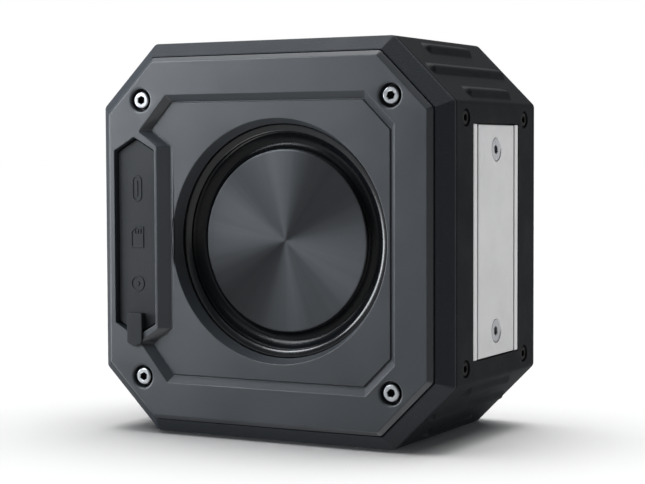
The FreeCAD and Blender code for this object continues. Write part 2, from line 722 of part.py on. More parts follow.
def make_front_baffle():
    body = panel_blank("BaffleBody", FRONT)
    pocket(body, "GrilleRecess", [octagon("grille_sunk")], "face", "grille_floor")
    screw_holes(body, "Baffle", FRONT, "front_seat")
    mouth = [("0", "middle", "driver_mouth")]
    pocket(body, "DriverMouth", mouth, "grille_floor", "back_level")
    pilots = [(x, z, "screw_bore") for x, z in round_axis("0", "middle", "driver_screw_place")]
    pocket(body, "DriverPilots", pilots, "back_level", "back_level + 2.2")
    sub_part("front_baffle", body)


def make_case_gasket(label, name, side):
    body = new_body(name)
    ring = [octagon("bumper_half"), octagon("rim_half")]
    pad(body, name + "Ring", ring, f"{side} * shell_level", f"{side} * rim_level")
    sub_part(label, body)


def hole_places(pitch, reach):
    """Centres of a triangular field of holes inside a circle."""
    row_step = pitch * math.sqrt(3) / 2
    rows = int(reach / row_step)
    places = []
    for row in range(-rows, rows + 1):
        shift = pitch / 2 if row % 2 else 0
        count = int(reach / pitch) + 1
        for column in range(-count, count + 1):
            x, z = column * pitch + shift, row * row_step
            if math.hypot(x, z) <= reach:
                places.append((x, z))
    return places


def make_front_grille():
    """Perforated sheet with a turned-down edge. The field of holes is cut in one step."""
    body = new_body("GrilleBlank")
    pad(body, "GrilleSheet", [octagon("grille_half")], "grille_floor", "grille_level")
    hollow = [octagon("grille_half - grille_thick")]
    pocket(body, "GrilleHollow", hollow, "grille_floor", "grille_level - grille_thick")
    document.recompute()
    radius, middle = number("hole_radius"), number("middle")
    start = number("grille_floor")
    reach = number("face") - start
    holes = []
    for x, z in hole_places(number("hole_pitch"), number("hole_field") - radius):
        foot = Vector(x, start, middle + z)
        holes.append(Part.makeCylinder(radius, reach, foot, Vector(0, 1, 0)))
    item = document.addObject("Part::Feature", "FrontGrille")
    item.Shape = body.Shape.cut(Part.makeCompound(holes))
    sub_part("front_grille", item)


def make_case_screws():
    head = ("screw_head_radius", "screw_head_tall")
    screw = cap_screw("CaseScrew", *head, "screw_radius", "screw_long", "screw_hex")
    for label, name, side, seat in (
        ("rear_screws", "RearScrews", REAR, "rear_seat"),
        ("front_screws", "FrontScrews", FRONT, "front_seat"),
    ):
        places = [(x, f"{side} * {seat}", z) for x, z in at_corners("screw_place")]
        sub_part(label, copies(name, screw, FACING[side], places))
    insert = cut("Insert", rod("InsertRound", "Z", "insert_radius", ("0", "insert_long"), ("0", "0")), [
        rod("InsertThread", "Z", "screw_radius + fit", ("-1", "insert_long + 1"), ("0", "0")),
    ])
    places = []
    for side in (REAR, FRONT):
        level = f"{side} * (back_level - 0.2)" if side == REAR else "back_level - 0.2 - insert_long"
        places += [(x, level, z) for x, z in at_corners("screw_place")]
    sub_part("screw_inserts", copies("ScrewInserts", insert, FACING[FRONT], places))


# ---------------------------------------------------------------- passive radiator

def make_radiator():
    axis = ("radiator_place", "middle")
    sub_part("radiator_trim_ring", turned("TrimRing", [
        ("trim_bore", "-trim_seat"), ("trim_radius", "-trim_seat"), ("trim_radius", "-ridge"),
        ("trim_radius - 0.35", "-ridge"), ("trim_bore + 0.2", "-trim_inner_level"),
        ("trim_bore", "-trim_inner_level"),
    ], *axis))
    seat_back = "-(trim_seat - surround_thick)"
    step, skirt = "trim_radius + 0.2", "trim_radius + 1.7"
    sub_part("radiator_frame", cut("RadiatorFrame", turned("FrameTurned", [
        ("trim_bore + 0.2", seat_back), (step, seat_back), (step, "-frame_level"),
        ("radiator_flange", "-frame_level"), ("radiator_flange", "-frame_back"), (skirt, "-frame_back"),
        (skirt, "-frame_skirt"), ("trim_bore + 0.2", "-frame_skirt"),
    ], *axis), radiator_screw_rods("FrameHole", "clearance", ("-back_level", "-frame_back"))))
    sub_part("radiator_gasket", cut("RadiatorGasket", turned("GasketTurned", [
        ("throat_radius", "-back_level"), ("radiator_flange", "-back_level"),
        ("radiator_flange", "-frame_level"), ("throat_radius", "-frame_level"),
    ], *axis), radiator_screw_rods("GasketHole", "clearance", ("-back_level", "-frame_level"))))
    lap_back = "-(disc_back - surround_thick)"
    sub_part("radiator_surround", turned("RadiatorSurround", [
        ("trim_radius", "-trim_seat"), ("trim_bore", "-trim_seat", "surround_roll"),
        ("disc_radius", "-disc_back"), ("surround_bore", "-disc_back"), ("surround_bore", lap_back),
        ("disc_radius", lap_back, "-surround_roll"), ("trim_bore", seat_back), ("trim_radius", seat_back),
    ], *axis))
    sub_part("radiator_disc", turned("RadiatorDisc", [
        ("0", "-disc_level"), ("0", "-disc_back"), ("disc_radius", "-disc_back"),
        ("disc_radius", "-(disc_level - disc_edge)", "-disc_edge"),
        ("disc_radius - disc_edge", "-disc_level"),
    ], *axis))
    sub_part("radiator_carrier", turned("RadiatorCarrier", [
        ("0", "-disc_back"), ("surround_bore - 0.2", "-disc_back"), ("surround_bore - 0.2", lap_back),
        ("disc_radius - 0.5", lap_back), ("disc_radius - 0.5", "-carrier_level"), ("0", "-carrier_level"),
    ], *axis))
    sub_part("radiator_weight", turned("RadiatorWeight", [
        ("0", "-carrier_level"), ("weight_radius", "-carrier_level"), ("weight_radius", "-weight_level"),
        ("0", "-weight_level"),
    ], *axis))
    sizes = ("small_head", "small_head_tall", "small_radius", "small_long", "small_hex")
    screw = cap_screw("SmallScrew", *sizes)
    places = [(x, "-frame_back", z) for x, z in round_axis(*axis, "radiator_screw_place")]
    sub_part("radiator_screws", copies("RadiatorScrews", screw, FACING[FRONT], places))
    return screw


def radiator_screw_rods(name, radius, span):
    places = round_axis("radiator_place", "middle", "radiator_screw_place")
    return [rod(f"{name}{index}", "Y", radius, span, place) for index, place in enumerate(places)]


# ---------------------------------------------------------------- loudspeaker

def make_driver(small_screw):
    axis = ("0", "middle")
    make_basket(axis, small_screw)
    lip_face, lip_back = "(basket_seat - cone_lip)", "(basket_seat - cone_lip * 2)"
    sub_part("driver_surround", turned("DriverSurround", [
        ("cone_rim - 1.3", lip_face), ("cone_rim", lip_face, "-roll_radius"), ("roll_out", "basket_seat"),
        ("flange_out", "basket_seat"), ("flange_out", "basket_seat + 0.5"),
        ("roll_out", "basket_seat + 0.5", "roll_radius"), ("cone_rim", "basket_seat"),
        ("cone_rim - 1.3", "basket_seat"),
    ], *axis))
    sub_part("driver_cone", turned("DriverCone", [
        ("cone_neck", "cone_neck_level"), ("cone_rim - 1.6", lip_back), ("cone_rim", lip_back),
        ("cone_rim", lip_face), ("cone_rim - 2", lip_face), ("cone_neck", "cone_neck_level + 1.2"),
    ], *axis))
    edge_out, rise_out = "(dust_radius + 0.4)", "(dust_rise + 0.05)"
    inside_arc = "-(dust_radius ^ 2 + dust_rise ^ 2) / (2 * dust_rise)"
    outside_arc = f"({edge_out} ^ 2 + {rise_out} ^ 2) / (2 * {rise_out})"
    sub_part("driver_dust_cap", turned("DustCap", [
        ("0", "dust_top"), ("0", "dust_top - dust_thick", inside_arc),
        ("dust_radius", "dust_top - dust_thick - dust_rise"),
        (edge_out, f"dust_top - {rise_out}", outside_arc),
    ], *axis))
    ring = rectangle(("coil_inside", "coil_outside"), ("coil_low", "coil_high"))
    sub_part("driver_voice_coil", turned("VoiceCoil", ring, *axis))
    make_spider(axis)
    magnet_face = "(gap_level - top_plate_thick)"
    magnet_back = f"({magnet_face} - ferrite_thick)"
    ring = rectangle(("gap_outside", "top_plate_radius"), (magnet_face, "gap_level"))
    sub_part("driver_top_plate", turned("TopPlate", ring, *axis))
    ring = rectangle(("ferrite_bore", "ferrite_radius"), (magnet_back, magnet_face))
    sub_part("driver_magnet", turned("DriverMagnet", ring, *axis))
    sub_part("driver_yoke", turned("Yoke", [
        ("0", f"{magnet_back} - yoke_thick"), ("yoke_radius", f"{magnet_back} - yoke_thick"),
        ("yoke_radius", magnet_back), ("pole_radius", magnet_back), ("pole_radius", "gap_level"),
        ("0", "gap_level"),
    ], *axis))


def driver_holes(name, span, places):
    return [rod(f"{name}{index}", "Y", "clearance", span, place) for index, place in enumerate(places)]


def make_basket(axis, small_screw):
    """Pressed basket with four windows and a tag strip, its gasket and its screws."""
    places = round_axis(*axis, "driver_screw_place")
    depth = ("window_low", "window_high")
    windows = [
        block("BasketWindowX", ("-driver_flange", "driver_flange"), depth, around("middle", "window_half")),
        block("BasketWindowZ", ("-window_half", "window_half"), depth, around("middle", "driver_flange")),
    ]
    span = ("flange_level", "back_level")
    holes = driver_holes("BasketHole", span, places)
    tag_depth = ("gap_level", "spider_level")
    tags = block("TagStrip", ("-tag_out", "-18.2"), tag_depth, around("middle - tag_low", "3.5"))
    basket = turned("BasketTurned", [
        ("driver_flange", "driver_level"), ("driver_flange", "flange_level"), ("basket_wall", "flange_level"),
        ("basket_foot", "gap_level"), ("basket_bore", "gap_level"), ("basket_bore", "gap_level + 1"),
        ("top_plate_radius", "gap_level + 1"), ("top_plate_radius", "spider_level"),
        ("basket_foot - 0.5", "spider_level"), ("basket_inside", "basket_seat - 1.8"),
        ("basket_inside", "basket_seat"), ("driver_mouth", "basket_seat"), ("driver_mouth", "driver_level"),
    ], *axis)
    sub_part("driver_basket", cut("DriverBasket", fuse("BasketSolid", [basket, tags]), windows + holes))
    span = ("driver_level", "back_level")
    holes = driver_holes("DriverGasketHole", span, places)
    ring = rectangle(("driver_mouth", "driver_flange"), span)
    sub_part("driver_gasket", cut("DriverGasket", turned("DriverGasketTurned", ring, *axis), holes))
    seats = [(x, "flange_level", z) for x, z in places]
    sub_part("driver_screws", copies("DriverScrews", small_screw, FACING[REAR], seats))


def make_spider(axis):
    """Corrugated cloth ring: three waves, then a flat edge glued to the basket."""
    low, high = "spider_level", "spider_level + spider_thick"
    edges = [f"cone_neck + {count} * spider_step" for count in range(4)]
    bulges = ["spider_wave", "-spider_wave", "spider_wave"]
    lower = [(edge, low, bulge) for edge, bulge in zip(edges, bulges)]
    upper = [(edge, high, f"-({bulge})") for edge, bulge in zip(edges[:0:-1], bulges)]
    rim = [(edges[-1], low), ("spider_out", low), ("spider_out", high)]
    sub_part("driver_spider", turned("Spider", lower + rim + upper + [(edges[0], high)], *axis))


# ---------------------------------------------------------------- ports and their cover

def make_port_cover():
    half = "(port_half_wide - cover_play)"
    shoulder = "(port_shoulder - 0.4)"
    tip = "(port_apex - 0.55)"
    left, right = f"-port_place - {half}", f"-port_place + {half}"
    low_edge, high_edge = around("port_height + hinge_height", "web_half")
    body = new_body("PortCover")
    pad(body, "CoverSlab", [[
        (left, low_edge), (left, f"port_height - {shoulder}"), ("-port_place", f"port_height - {tip}"),
        (right, f"port_height - {shoulder}"), (right, low_edge),
    ]], "-cover_back", "-cover_level")
    tab_left, tab_right = around("-port_place", "tab_half")
    riser = rectangle((tab_left, tab_right), ("port_height - tab_riser", "port_height - tab_start"))
    pad(body, "TabRiser", [riser], "-cover_level + 0.5", "-tab_level + tab_thick")
    pad(body, "PullTab", [[
        (tab_left, "port_height - tab_start"), (tab_left, "port_height - tab_shoulder"),
        ("-port_place", "port_height - tab_tip"), (tab_right, "port_height - tab_shoulder"),
        (tab_right, "port_height - tab_start"),
    ]], "-tab_level + tab_thick", "-tab_level")
    plug = [("main_board_face + jack_place", "port_height + jack_height", "jack_bore - 0.3")]
    pad(body, "JackPlug", plug, "-cover_back - 0.5", "-cover_back + 2.2")
    nub = rectangle(around("main_board_face + usb_place", "usb_half_wide - usb_wall - 0.35"),
                    around("port_height + usb_height", "usb_half_long - usb_wall - 0.6"))
    pad(body, "UsbNub", [nub], "-cover_back - 0.5", "-cover_back + 1.1")
    sub_part("port_cover", body)
    anchor = new_body("CoverAnchor")
    pad(anchor, "AnchorSlab", [[
        (left, high_edge), (right, high_edge), (right, f"port_height + {shoulder}"),
        ("-port_place", f"port_height + {tip}"), (left, f"port_height + {shoulder}"),
    ]], "-port_floor", "-cover_level")
    sub_part("port_cover_anchor", anchor)
    depth = ("-cover_level", "-cover_level + web_thick")
    sub_part("port_cover_hinge", block("CoverHinge", (left, right), depth, (low_edge, high_edge)))


def make_ports():
    surface = "main_board_face"
    mouth = "-port_floor + 0.1"
    usb_end, card_end, jack_end = "-19.5", "-12.5", "-13"
    centre = f"{surface} + usb_place"
    height = "port_height + usb_height"
    width = around(centre, "usb_half_wide")
    outer = block("UsbOuter", width, (mouth, usb_end), around(height, "usb_half_long"))
    inside = (f"{mouth} - 1", f"{usb_end} - 1")
    hollow = block("UsbMouth", around(centre, "usb_half_wide - usb_wall"), inside,
                   around(height, "usb_half_long - usb_wall"))
    tongue = block("UsbTongue", around(centre, "0.35"), (f"{mouth} + 1.5", inside[1]), around(height, "3.3"))
    sub_part("usb_c_port", fuse("UsbPort", [cut("UsbShell", outer, [hollow]), tongue]))
    height = "port_height"
    width = (surface, f"{surface} + card_thick")
    card = block("CardOuter", width, (mouth, card_end), around(height, "card_half_long"))
    inside = (f"{mouth} - 1", f"{card_end} - 1.5")
    slot = block("CardMouth", around(f"{surface} + card_thick / 2", "0.45"), inside,
                 around(height, "card_half_long - 1.4"))
    sub_part("card_socket", cut("CardSocket", card, [slot]))
    height = "port_height + jack_height"
    centre = (f"{surface} + jack_place", height)
    front = "-back_level + 0.3"
    jack = fuse("JackSolid", [
        block("JackBox", (surface, f"{surface} + jack_place * 2"), (front, jack_end),
              around(height, "jack_half")),
        rod("JackBarrel", "Y", "jack_radius", (mouth, f"{front} + 0.2"), centre),
    ])
    bore = rod("JackBore", "Y", "jack_bore", (f"{mouth} - 1", f"{jack_end} - 1"), centre)
    sub_part("line_in_jack", cut("LineInJack", jack, [bore]))


# ---------------------------------------------------------------- electronics

def make_main_board(small_screw):
    surface = "main_board_face"
    span = (f"{surface} - board_thick", surface)
    board = block("BoardPlate", span, ("-24", "16"), around("middle", "main_board_half"))
    places = main_board_screw_places()
    holes = [rod(f"BoardHole{index}", "X", "clearance", span, place) for index, place in enumerate(places)]
    sub_part("main_board", cut("MainBoard", board, holes))
    seats = [(surface, y, z) for y, z in places]
    sub_part("board_screws", copies("BoardScrews", small_screw, FACING["RIGHT"], seats))
    module = block("RadioShield", (surface, f"{surface} + 2.2"), ("-9", "5"), ("middle + 11", "middle + 23"))
    sub_part("bluetooth_module", module)
    chips = (
        ("AmplifierChip", 1.2, (-2, 5), (2, -5)),
        ("ChargerChip", 1.0, (-16, -12), (24, 20)),
        ("Inductor", 3.0, (6, 12), (4, -2)),
        ("SecondInductor", 3.0, (6, 12), (-5, -11)),
        ("BatterySocket", 4.5, (-6, 0), (-20, -28)),
        ("SpeakerSocket", 4.5, (8, 14), (-16, -21)),
    )
    solids = []
    for name, tall, depth, rise in chips:
        heights = (f"middle + ({min(rise)})", f"middle + ({max(rise)})")
        solids.append(block(name, (surface, f"{surface} + {tall}"), depth, heights))
    for index, rise in enumerate((7, -14)):
        place = ("-6", f"middle + ({rise})")
        solids.append(rod(f"Capacitor{index}", "X", "3", (surface, f"{surface} + 6"), place))
    sub_part("board_components", group("BoardComponents", solids))


def make_button_board(small_screw):
    top = "board_low + board_thick"
    depth = ("board_low", top)
    plate = block("ButtonPlate", around("0", "board_half_long"), around("0", "board_half_wide"), depth)
    places = [(f"{side} * button_pitch", "0") for side in (-1, 1)]
    holes = []
    for index, place in enumerate(places):
        holes.append(rod(f"ButtonBoardHole{index}", "Z", "clearance", depth, place))
    sub_part("button_board", cut("ButtonBoard", plate, holes))
    seats = [(x, y, "board_low") for x, y in places]
    sub_part("button_board_screws", copies("ButtonBoardScrews", small_screw, FACING["DOWN"], seats))
    switches = []
    for index, x in enumerate(button_places()):
        base = block(f"SwitchBase{index}", around(x, "3"), around("0", "3"), (top, f"{top} + 2.4"))
        plunger = rod(f"SwitchPlunger{index}", "Z", "1.7", (f"{top} + 2.3", f"{top} + 3.4"), (x, "0"))
        switches.append(fuse(f"Switch{index}", [base, plunger]))
    sub_part("tact_switches", group("TactSwitches", switches))
    microphone = rod("Microphone", "Z", "2", (top, "middle + shell_half - 0.2"), ("0", "microphone_place"))
    sub_part("microphone", microphone)


def make_battery():
    floor = "middle - shell_half"
    cell = rod("BatteryCell", "X", "cell_radius", around("0", "cell_half"), ("cell_depth", "cell_height"))
    sub_part("battery_cell", cell)
    top = f"{floor} + cradle_tall"
    axis = ("cell_depth", "cell_height")
    bore = "cell_radius + cell_play"
    across = around("cell_depth", "cell_radius + 0.8")
    cradle = block("CradleBlock", around("0", "cradle_half"), across, (floor, top))
    trough = rod("CradleTrough", "X", bore, around("0", "cradle_half"), axis)
    sub_part("battery_holder", cut("BatteryHolder", cradle, [trough]))
    reach = around("0", "strap_half")
    band = rod("StrapRound", "X", f"{bore} + strap_thick", reach, axis)
    feet = block("StrapFeet", reach, across, (top, "cell_height"))
    hollow = rod("StrapHollow", "X", bore, reach, axis)
    under = block("StrapUnder", reach, around("cell_depth", f"{bore} + strap_thick"), ("0", top))
    sub_part("battery_strap", cut("BatteryStrap", fuse("StrapSolid", [band, feet]), [hollow, under]))


def wire(name, radius, places, bend):
    """Round wire along straight runs joined by arcs; its sizes come from the sheet through number()."""
    spots = [Vector(*(number(text) for text in place)) for place in places]
    edges = []
    start = spots[0]
    for before, here, after in zip(spots, spots[1:], spots[2:]):
        towards, away = (here - before).normalize(), (after - here).normalize()
        half_turn = towards.getAngle(away) / 2
        trim = bend * math.tan(half_turn)
        first, last = here - towards * trim, here + away * trim
        inward = (away - towards).normalize()
        crown = here + inward * (bend / math.cos(half_turn) - bend)
        edges += [Part.LineSegment(start, first).toShape(), Part.Arc(first, crown, last).toShape()]
        start = last
    edges.append(Part.LineSegment(start, spots[-1]).toShape())
    path = Part.Wire(edges)
    direction = (spots[1] - spots[0]).normalize()
    ring = Part.Wire([Part.makeCircle(radius, spots[0], direction)])
    item = document.addObject("Part::Feature", name)
    item.Shape = path.makePipeShell([ring], True, False)
    return item


def make_leads():
    """Two insulated wires each: main board to the driver's tags, and main board to the cell."""
    thickness, bend = number("lead_radius"), number("lead_bend")
    speaker = []
    battery = []
    for index in range(2):
        low, high = f"middle - 17.6 - {index * 1.8}", f"middle - 4.5 - {index * 2}"
        speaker.append(wire(f"SpeakerLead{index}", thickness, [
            ("main_board_face + 4.5", "11", low), ("-30.5", "11", low),
            ("-27", "10.75", high), ("-tag_out", "10.75", high),
        ], bend))
        depth, down = f"-2.1 - {index * 1.8}", "main_board_face + 2.5"
        battery.append(wire(f"BatteryLead{index}", thickness, [
            (down, depth, "middle - 28"), (down, depth, "15.5"), ("-cell_half", depth, "15.5"),
        ], bend))
    sub_part("speaker_leads", group("SpeakerLeads", speaker))
    sub_part("battery_leads", group("BatteryLeads", battery))


# ---------------------------------------------------------------- buttons and magnet

def make_buttons():
    labels = ("power_button", "volume_down_button", "play_button", "volume_up_button")
    inner_top = "middle + shell_half"
    for index, (label, x) in enumerate(zip(labels, button_places())):
        name = f"Button{index}"
        cap = (f"{inner_top} - 0.6", "button_top")
        flange = (f"{inner_top} - 1.3", f"{inner_top} - 0.2")
        stem = ("board_low + board_thick + 4", f"{inner_top} - 1")
        sub_part(label, fuse(name, [
            rod(name + "Cap", "Z", "button_radius", cap, (x, "0")),
            rod(name + "Flange", "Z", "button_radius + 1", flange, (x, "0")),
            rod(name + "Stem", "Z", "button_stem", stem, (x, "0")),
        ]))


def make_magnet():
    height = around("middle", "magnet_half_tall")
    screw_axes = [("0", f"middle + {rise} * magnet_screw_place") for rise in (-1, 1)]
    bore, through = "magnet_screw_radius + 0.15", ("magnet_seat", "width / 2")
    holes = [rod(f"ChannelHole{index}", "X", bore, through, place) for index, place in enumerate(screw_axes)]
    channel = block("ChannelBlock", ("magnet_seat", "width / 2"), around("0", "magnet_half_wide"), height)
    floor = "magnet_seat + channel_thick"
    slot = block("ChannelSlot", (floor, "width"), around("0", "slot_half_wide"), height)
    sub_part("magnet_channel", cut("MagnetChannel", channel, [slot] + holes))
    bar = block("BarBlock", (floor, "width / 2"), around("0", "bar_half_wide"), height)
    sinks = []
    radii = ("magnet_screw_radius + 0.1", "magnet_screw_head + 0.2")
    for index, place in enumerate(screw_axes):
        sinks.append(rod(f"BarHole{index}", "X", bore, through, place))
        span = ("width / 2 - (magnet_screw_head - magnet_screw_radius + 0.1)", "width / 2")
        sinks.append(cone(f"BarSink{index}", "X", radii, span, place))
    sub_part("magnet_bar", cut("MagnetBar", bar, sinks))
    sizes = ("magnet_screw_head", "magnet_screw_radius", "magnet_screw_long", "magnet_screw_hex")
    screw = countersunk_screw("MagnetScrew", *sizes)
    seats = [("width / 2 - 0.1", y, z) for y, z in screw_axes]
    sub_part("magnet_screws", copies("MagnetScrews", screw, FACING["RIGHT"], seats))
    span = ("-magnet_insert_long", "0")
    insert = cut("MagnetInsert", rod("MagnetInsertRound", "Z", "magnet_insert_radius", span, ("0", "0")), [
        rod("MagnetInsertThread", "Z", "magnet_screw_radius + fit", span, ("0", "0")),
    ])
    seats = [("magnet_seat", y, z) for y, z in screw_axes]
    sub_part("magnet_inserts", copies("MagnetInserts", insert, FACING["RIGHT"], seats))
    screw = cap_screw("SideScrew", "side_head", "side_head_tall", "small_radius", "side_long", "small_hex")
    seats = [("sleeve_half", y, z) for y, z in side_screw_places()]
    sub_part("side_screws", copies("SideScrews", screw, FACING["RIGHT"], seats))


# ---------------------------------------------------------------- the whole speaker

make_housing_shell()
make_side_sleeve()
make_bumper("rear_bumper", "RearBumper", REAR)
make_bumper("front_bumper", "FrontBumper", FRONT)
make_rear_panel()
make_front_baffle()
make_case_gasket("rear_gasket", "RearGasket", REAR)
make_case_gasket("front_gasket", "FrontGasket", FRONT)
make_front_grille()
make_case_screws()
small = make_radiator()
make_driver(small)
make_port_cover()
make_ports()
make_main_board(small)
make_button_board(small)
make_battery()
make_leads()
make_buttons()
make_magnet()
document.recompute()

for item in document.Objects:
    if {"Invalid", "Error"} & set(item.State):
        raise RuntimeError(f"{item.Label} failed: {item.State}")
os.makedirs("parts", exist_ok=True)
for item in parts:
    shape = item.Shape
    if shape.isNull() or not shape.isValid() or not shape.Solids:
        raise RuntimeError(f"{item.Label} has no valid solid")
    shape.exportStep(os.path.join("parts", item.Label + ".step"))
print(len(parts), "sub-parts written")
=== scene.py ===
import math

import bmesh
import bpy
from mathutils import Matrix, Vector


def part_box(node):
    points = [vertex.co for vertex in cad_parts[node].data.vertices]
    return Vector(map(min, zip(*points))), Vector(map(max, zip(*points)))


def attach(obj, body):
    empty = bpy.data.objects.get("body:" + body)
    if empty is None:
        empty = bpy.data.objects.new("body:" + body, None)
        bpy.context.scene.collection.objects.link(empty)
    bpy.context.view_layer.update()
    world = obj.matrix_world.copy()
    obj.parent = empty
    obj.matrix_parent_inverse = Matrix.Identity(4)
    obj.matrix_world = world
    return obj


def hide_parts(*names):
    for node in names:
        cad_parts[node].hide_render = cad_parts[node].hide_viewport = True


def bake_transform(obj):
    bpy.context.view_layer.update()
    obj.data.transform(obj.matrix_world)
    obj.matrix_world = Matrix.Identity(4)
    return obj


# A portable speaker, seen from its rear corner. Shapes are worked out in millimetres and scaled once,
# when a mesh becomes a piece. Every face of the case has its own frame: u to the right and v up as one
# looks at it, and w outwards from the middle of the case.

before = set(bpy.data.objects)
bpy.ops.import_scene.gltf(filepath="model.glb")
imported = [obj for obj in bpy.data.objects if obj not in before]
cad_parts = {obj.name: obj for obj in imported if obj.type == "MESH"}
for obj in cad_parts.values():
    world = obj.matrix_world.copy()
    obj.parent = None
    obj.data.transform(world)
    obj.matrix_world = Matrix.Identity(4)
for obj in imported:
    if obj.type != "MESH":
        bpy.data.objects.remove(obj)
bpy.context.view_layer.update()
MM = 0.001


# ---- sizes, from the frame

def span(node, axis):
    """Lowest and highest place of a CAD node along an axis, in millimetres."""
    low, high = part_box(node)
    return low[axis] / MM, high[axis] / MM


def middle_of(node, axis):
    return sum(span(node, axis)) / 2


def half_of(node, axis):
    low, high = span(node, axis)
    return (high - low) / 2


X, Y, Z = 0, 1, 2
MIDDLE = middle_of("side_sleeve", Z)
HALF = half_of("side_sleeve", X)
CORNER = 16.0  # legs of the cut corners
SLEEVE_END = half_of("side_sleeve", Y)
SLEEVE_INSIDE = span("housing_shell", X)[1]
BUMPER_BACK = -span("rear_bumper", Y)[1]
BUMPER_LIP = -span("rear_bumper", Y)[0]
BUMPER_INSIDE = 46.4
RIDGE = 25.5  # where the bevel of a bumper starts
BEVEL = 0.9423  # how fast that bevel comes in
FACE = -span("rear_panel", Y)[0]
PANEL_RIM = -span("rear_panel", Y)[1]
PANEL_HALF = half_of("rear_panel", X)
PANEL_BACK = 25.9
GASKET_INSIDE = 45.2
CAD_HEAD = 2.25  # radius of a case screw's head in the CAD
SCREW_PLACE = half_of("rear_screws", X) - CAD_HEAD
SCREW_TOP = -span("rear_screws", Y)[0]
CASE_ROUND = 1.6  # radius on the case's eight upright edges
CORNERS = [(-1, -1), (-1, 1), (1, -1), (1, 1)]


def rear_place(node):
    """Where a CAD node lies on the rear face: u and v."""
    return middle_of(node, X), middle_of(node, Z) - MIDDLE


# ---- frames of the case's faces

def face_frame(u, v, w):
    matrix = Matrix((u, v, w)).transposed().to_4x4()
    matrix.translation = Vector((0, 0, MIDDLE))
    return matrix


def side_frame(degrees):
    """Frame of a side of the octagon: 0 is the magnet side, 90 the top. u runs along +Y."""
    angle = math.radians(degrees)
    out = (math.cos(angle), 0, math.sin(angle))
    return face_frame((0, 1, 0), (-math.sin(angle), 0, math.cos(angle)), out)


REAR = face_frame((1, 0, 0), (0, 0, 1), (0, -1, 0))
FRONT = face_frame((-1, 0, 0), (0, 0, 1), (0, 1, 0))
RIGHT = side_frame(0)
TOP = face_frame((1, 0, 0), (0, 1, 0), (0, 0, 1))


# ---- outlines and profiles

SHARPEST = 0.02  # smallest radius of a rounded corner


class Polygon:
    """Closed outline with rounded corners, counter-clockwise; points(offset) moves it outwards."""

    def __init__(self, corners, radius, steps=5):
        self.corners = [Vector(corner) for corner in corners]
        self.radii = radius if isinstance(radius, list) else [radius] * len(corners)
        self.steps = steps

    def points(self, offset=0.0):
        made = []
        count = len(self.corners)
        for index, corner in enumerate(self.corners):
            before = (corner - self.corners[index - 1]).normalized()
            after = (self.corners[(index + 1) % count] - corner).normalized()
            turn = math.atan2(before.x * after.y - before.y * after.x, before.dot(after))
            out = Vector((before.y, -before.x)) + Vector((after.y, -after.x))
            moved = corner + out * (offset / (1 + before.dot(after)))
            grown = self.radii[index] + (offset if turn > 0 else -offset)
            radius = max(grown, SHARPEST)
            reach = radius * math.tan(abs(turn) / 2)
            start = moved - before * reach
            inward = Vector((-before.y, before.x)) * math.copysign(radius, turn)
            centre = start + inward
            for step in range(self.steps + 1):
                made.append(centre + Matrix.Rotation(turn * step / self.steps, 2) @ -inward)
        return made


class Round:
    """Circle as an outline."""

    def __init__(self, u, v, radius, count=96):
        self.centre, self.radius, self.count = Vector((u, v)), radius, count

    def points(self, offset=0.0):
        reach = self.radius + offset
        turns = [2 * math.pi * index / self.count for index in range(self.count)]
        return [self.centre + Vector((math.cos(turn), math.sin(turn))) * reach for turn in turns]


def octagon(half, radius=CASE_ROUND):
    """The case's outline, drawn in to `half`; rounded like the case."""
    cut = HALF - CORNER - (HALF - half) * (math.sqrt(2) - 1)
    quarter = [(half, -cut), (half, cut), (cut, half), (-cut, half)]
    return Polygon(quarter + [(-u, -v) for u, v in quarter], radius, 6)


def box_outline(u, v, half_u, half_v, radius, steps=5):
    low_u, high_u, low_v, high_v = u - half_u, u + half_u, v - half_v, v + half_v
    return Polygon([(low_u, low_v), (high_u, low_v), (high_u, high_v), (low_u, high_v)], radius, steps)


def hexagon(u, v, reach, turn):
    """Key socket of a screw."""
    turns = [turn + side * math.pi / 3 for side in range(6)]
    return Polygon([(u + reach * math.cos(angle), v + reach * math.sin(angle)) for angle in turns], 0.05, 2)


def soften(profile, radius, steps=4):
    """Rounds the corners of an open run of (offset, level) points. radius is a number or one per point."""
    straight, most = 0.02, 0.49
    spots = [Vector(spot) for spot in profile]
    radii = radius if isinstance(radius, list) else [radius] * len(spots)
    made = [spots[0]]
    for index in range(1, len(spots) - 1):
        before, here, after = spots[index - 1], spots[index], spots[index + 1]
        towards, away = here - before, after - here
        turn = towards.angle(away)
        if radii[index] <= 0 or turn < straight:
            made.append(here)
            continue
        reach = min(radii[index] * math.tan(turn / 2), towards.length * most, away.length * most)
        first, last = here - towards.normalized() * reach, here + away.normalized() * reach
        for step in range(steps + 1):
            share = step / steps
            made.append(first.lerp(here, share).lerp(here.lerp(last, share), share))
    made.append(spots[-1])
    return made


# ---- mesh building

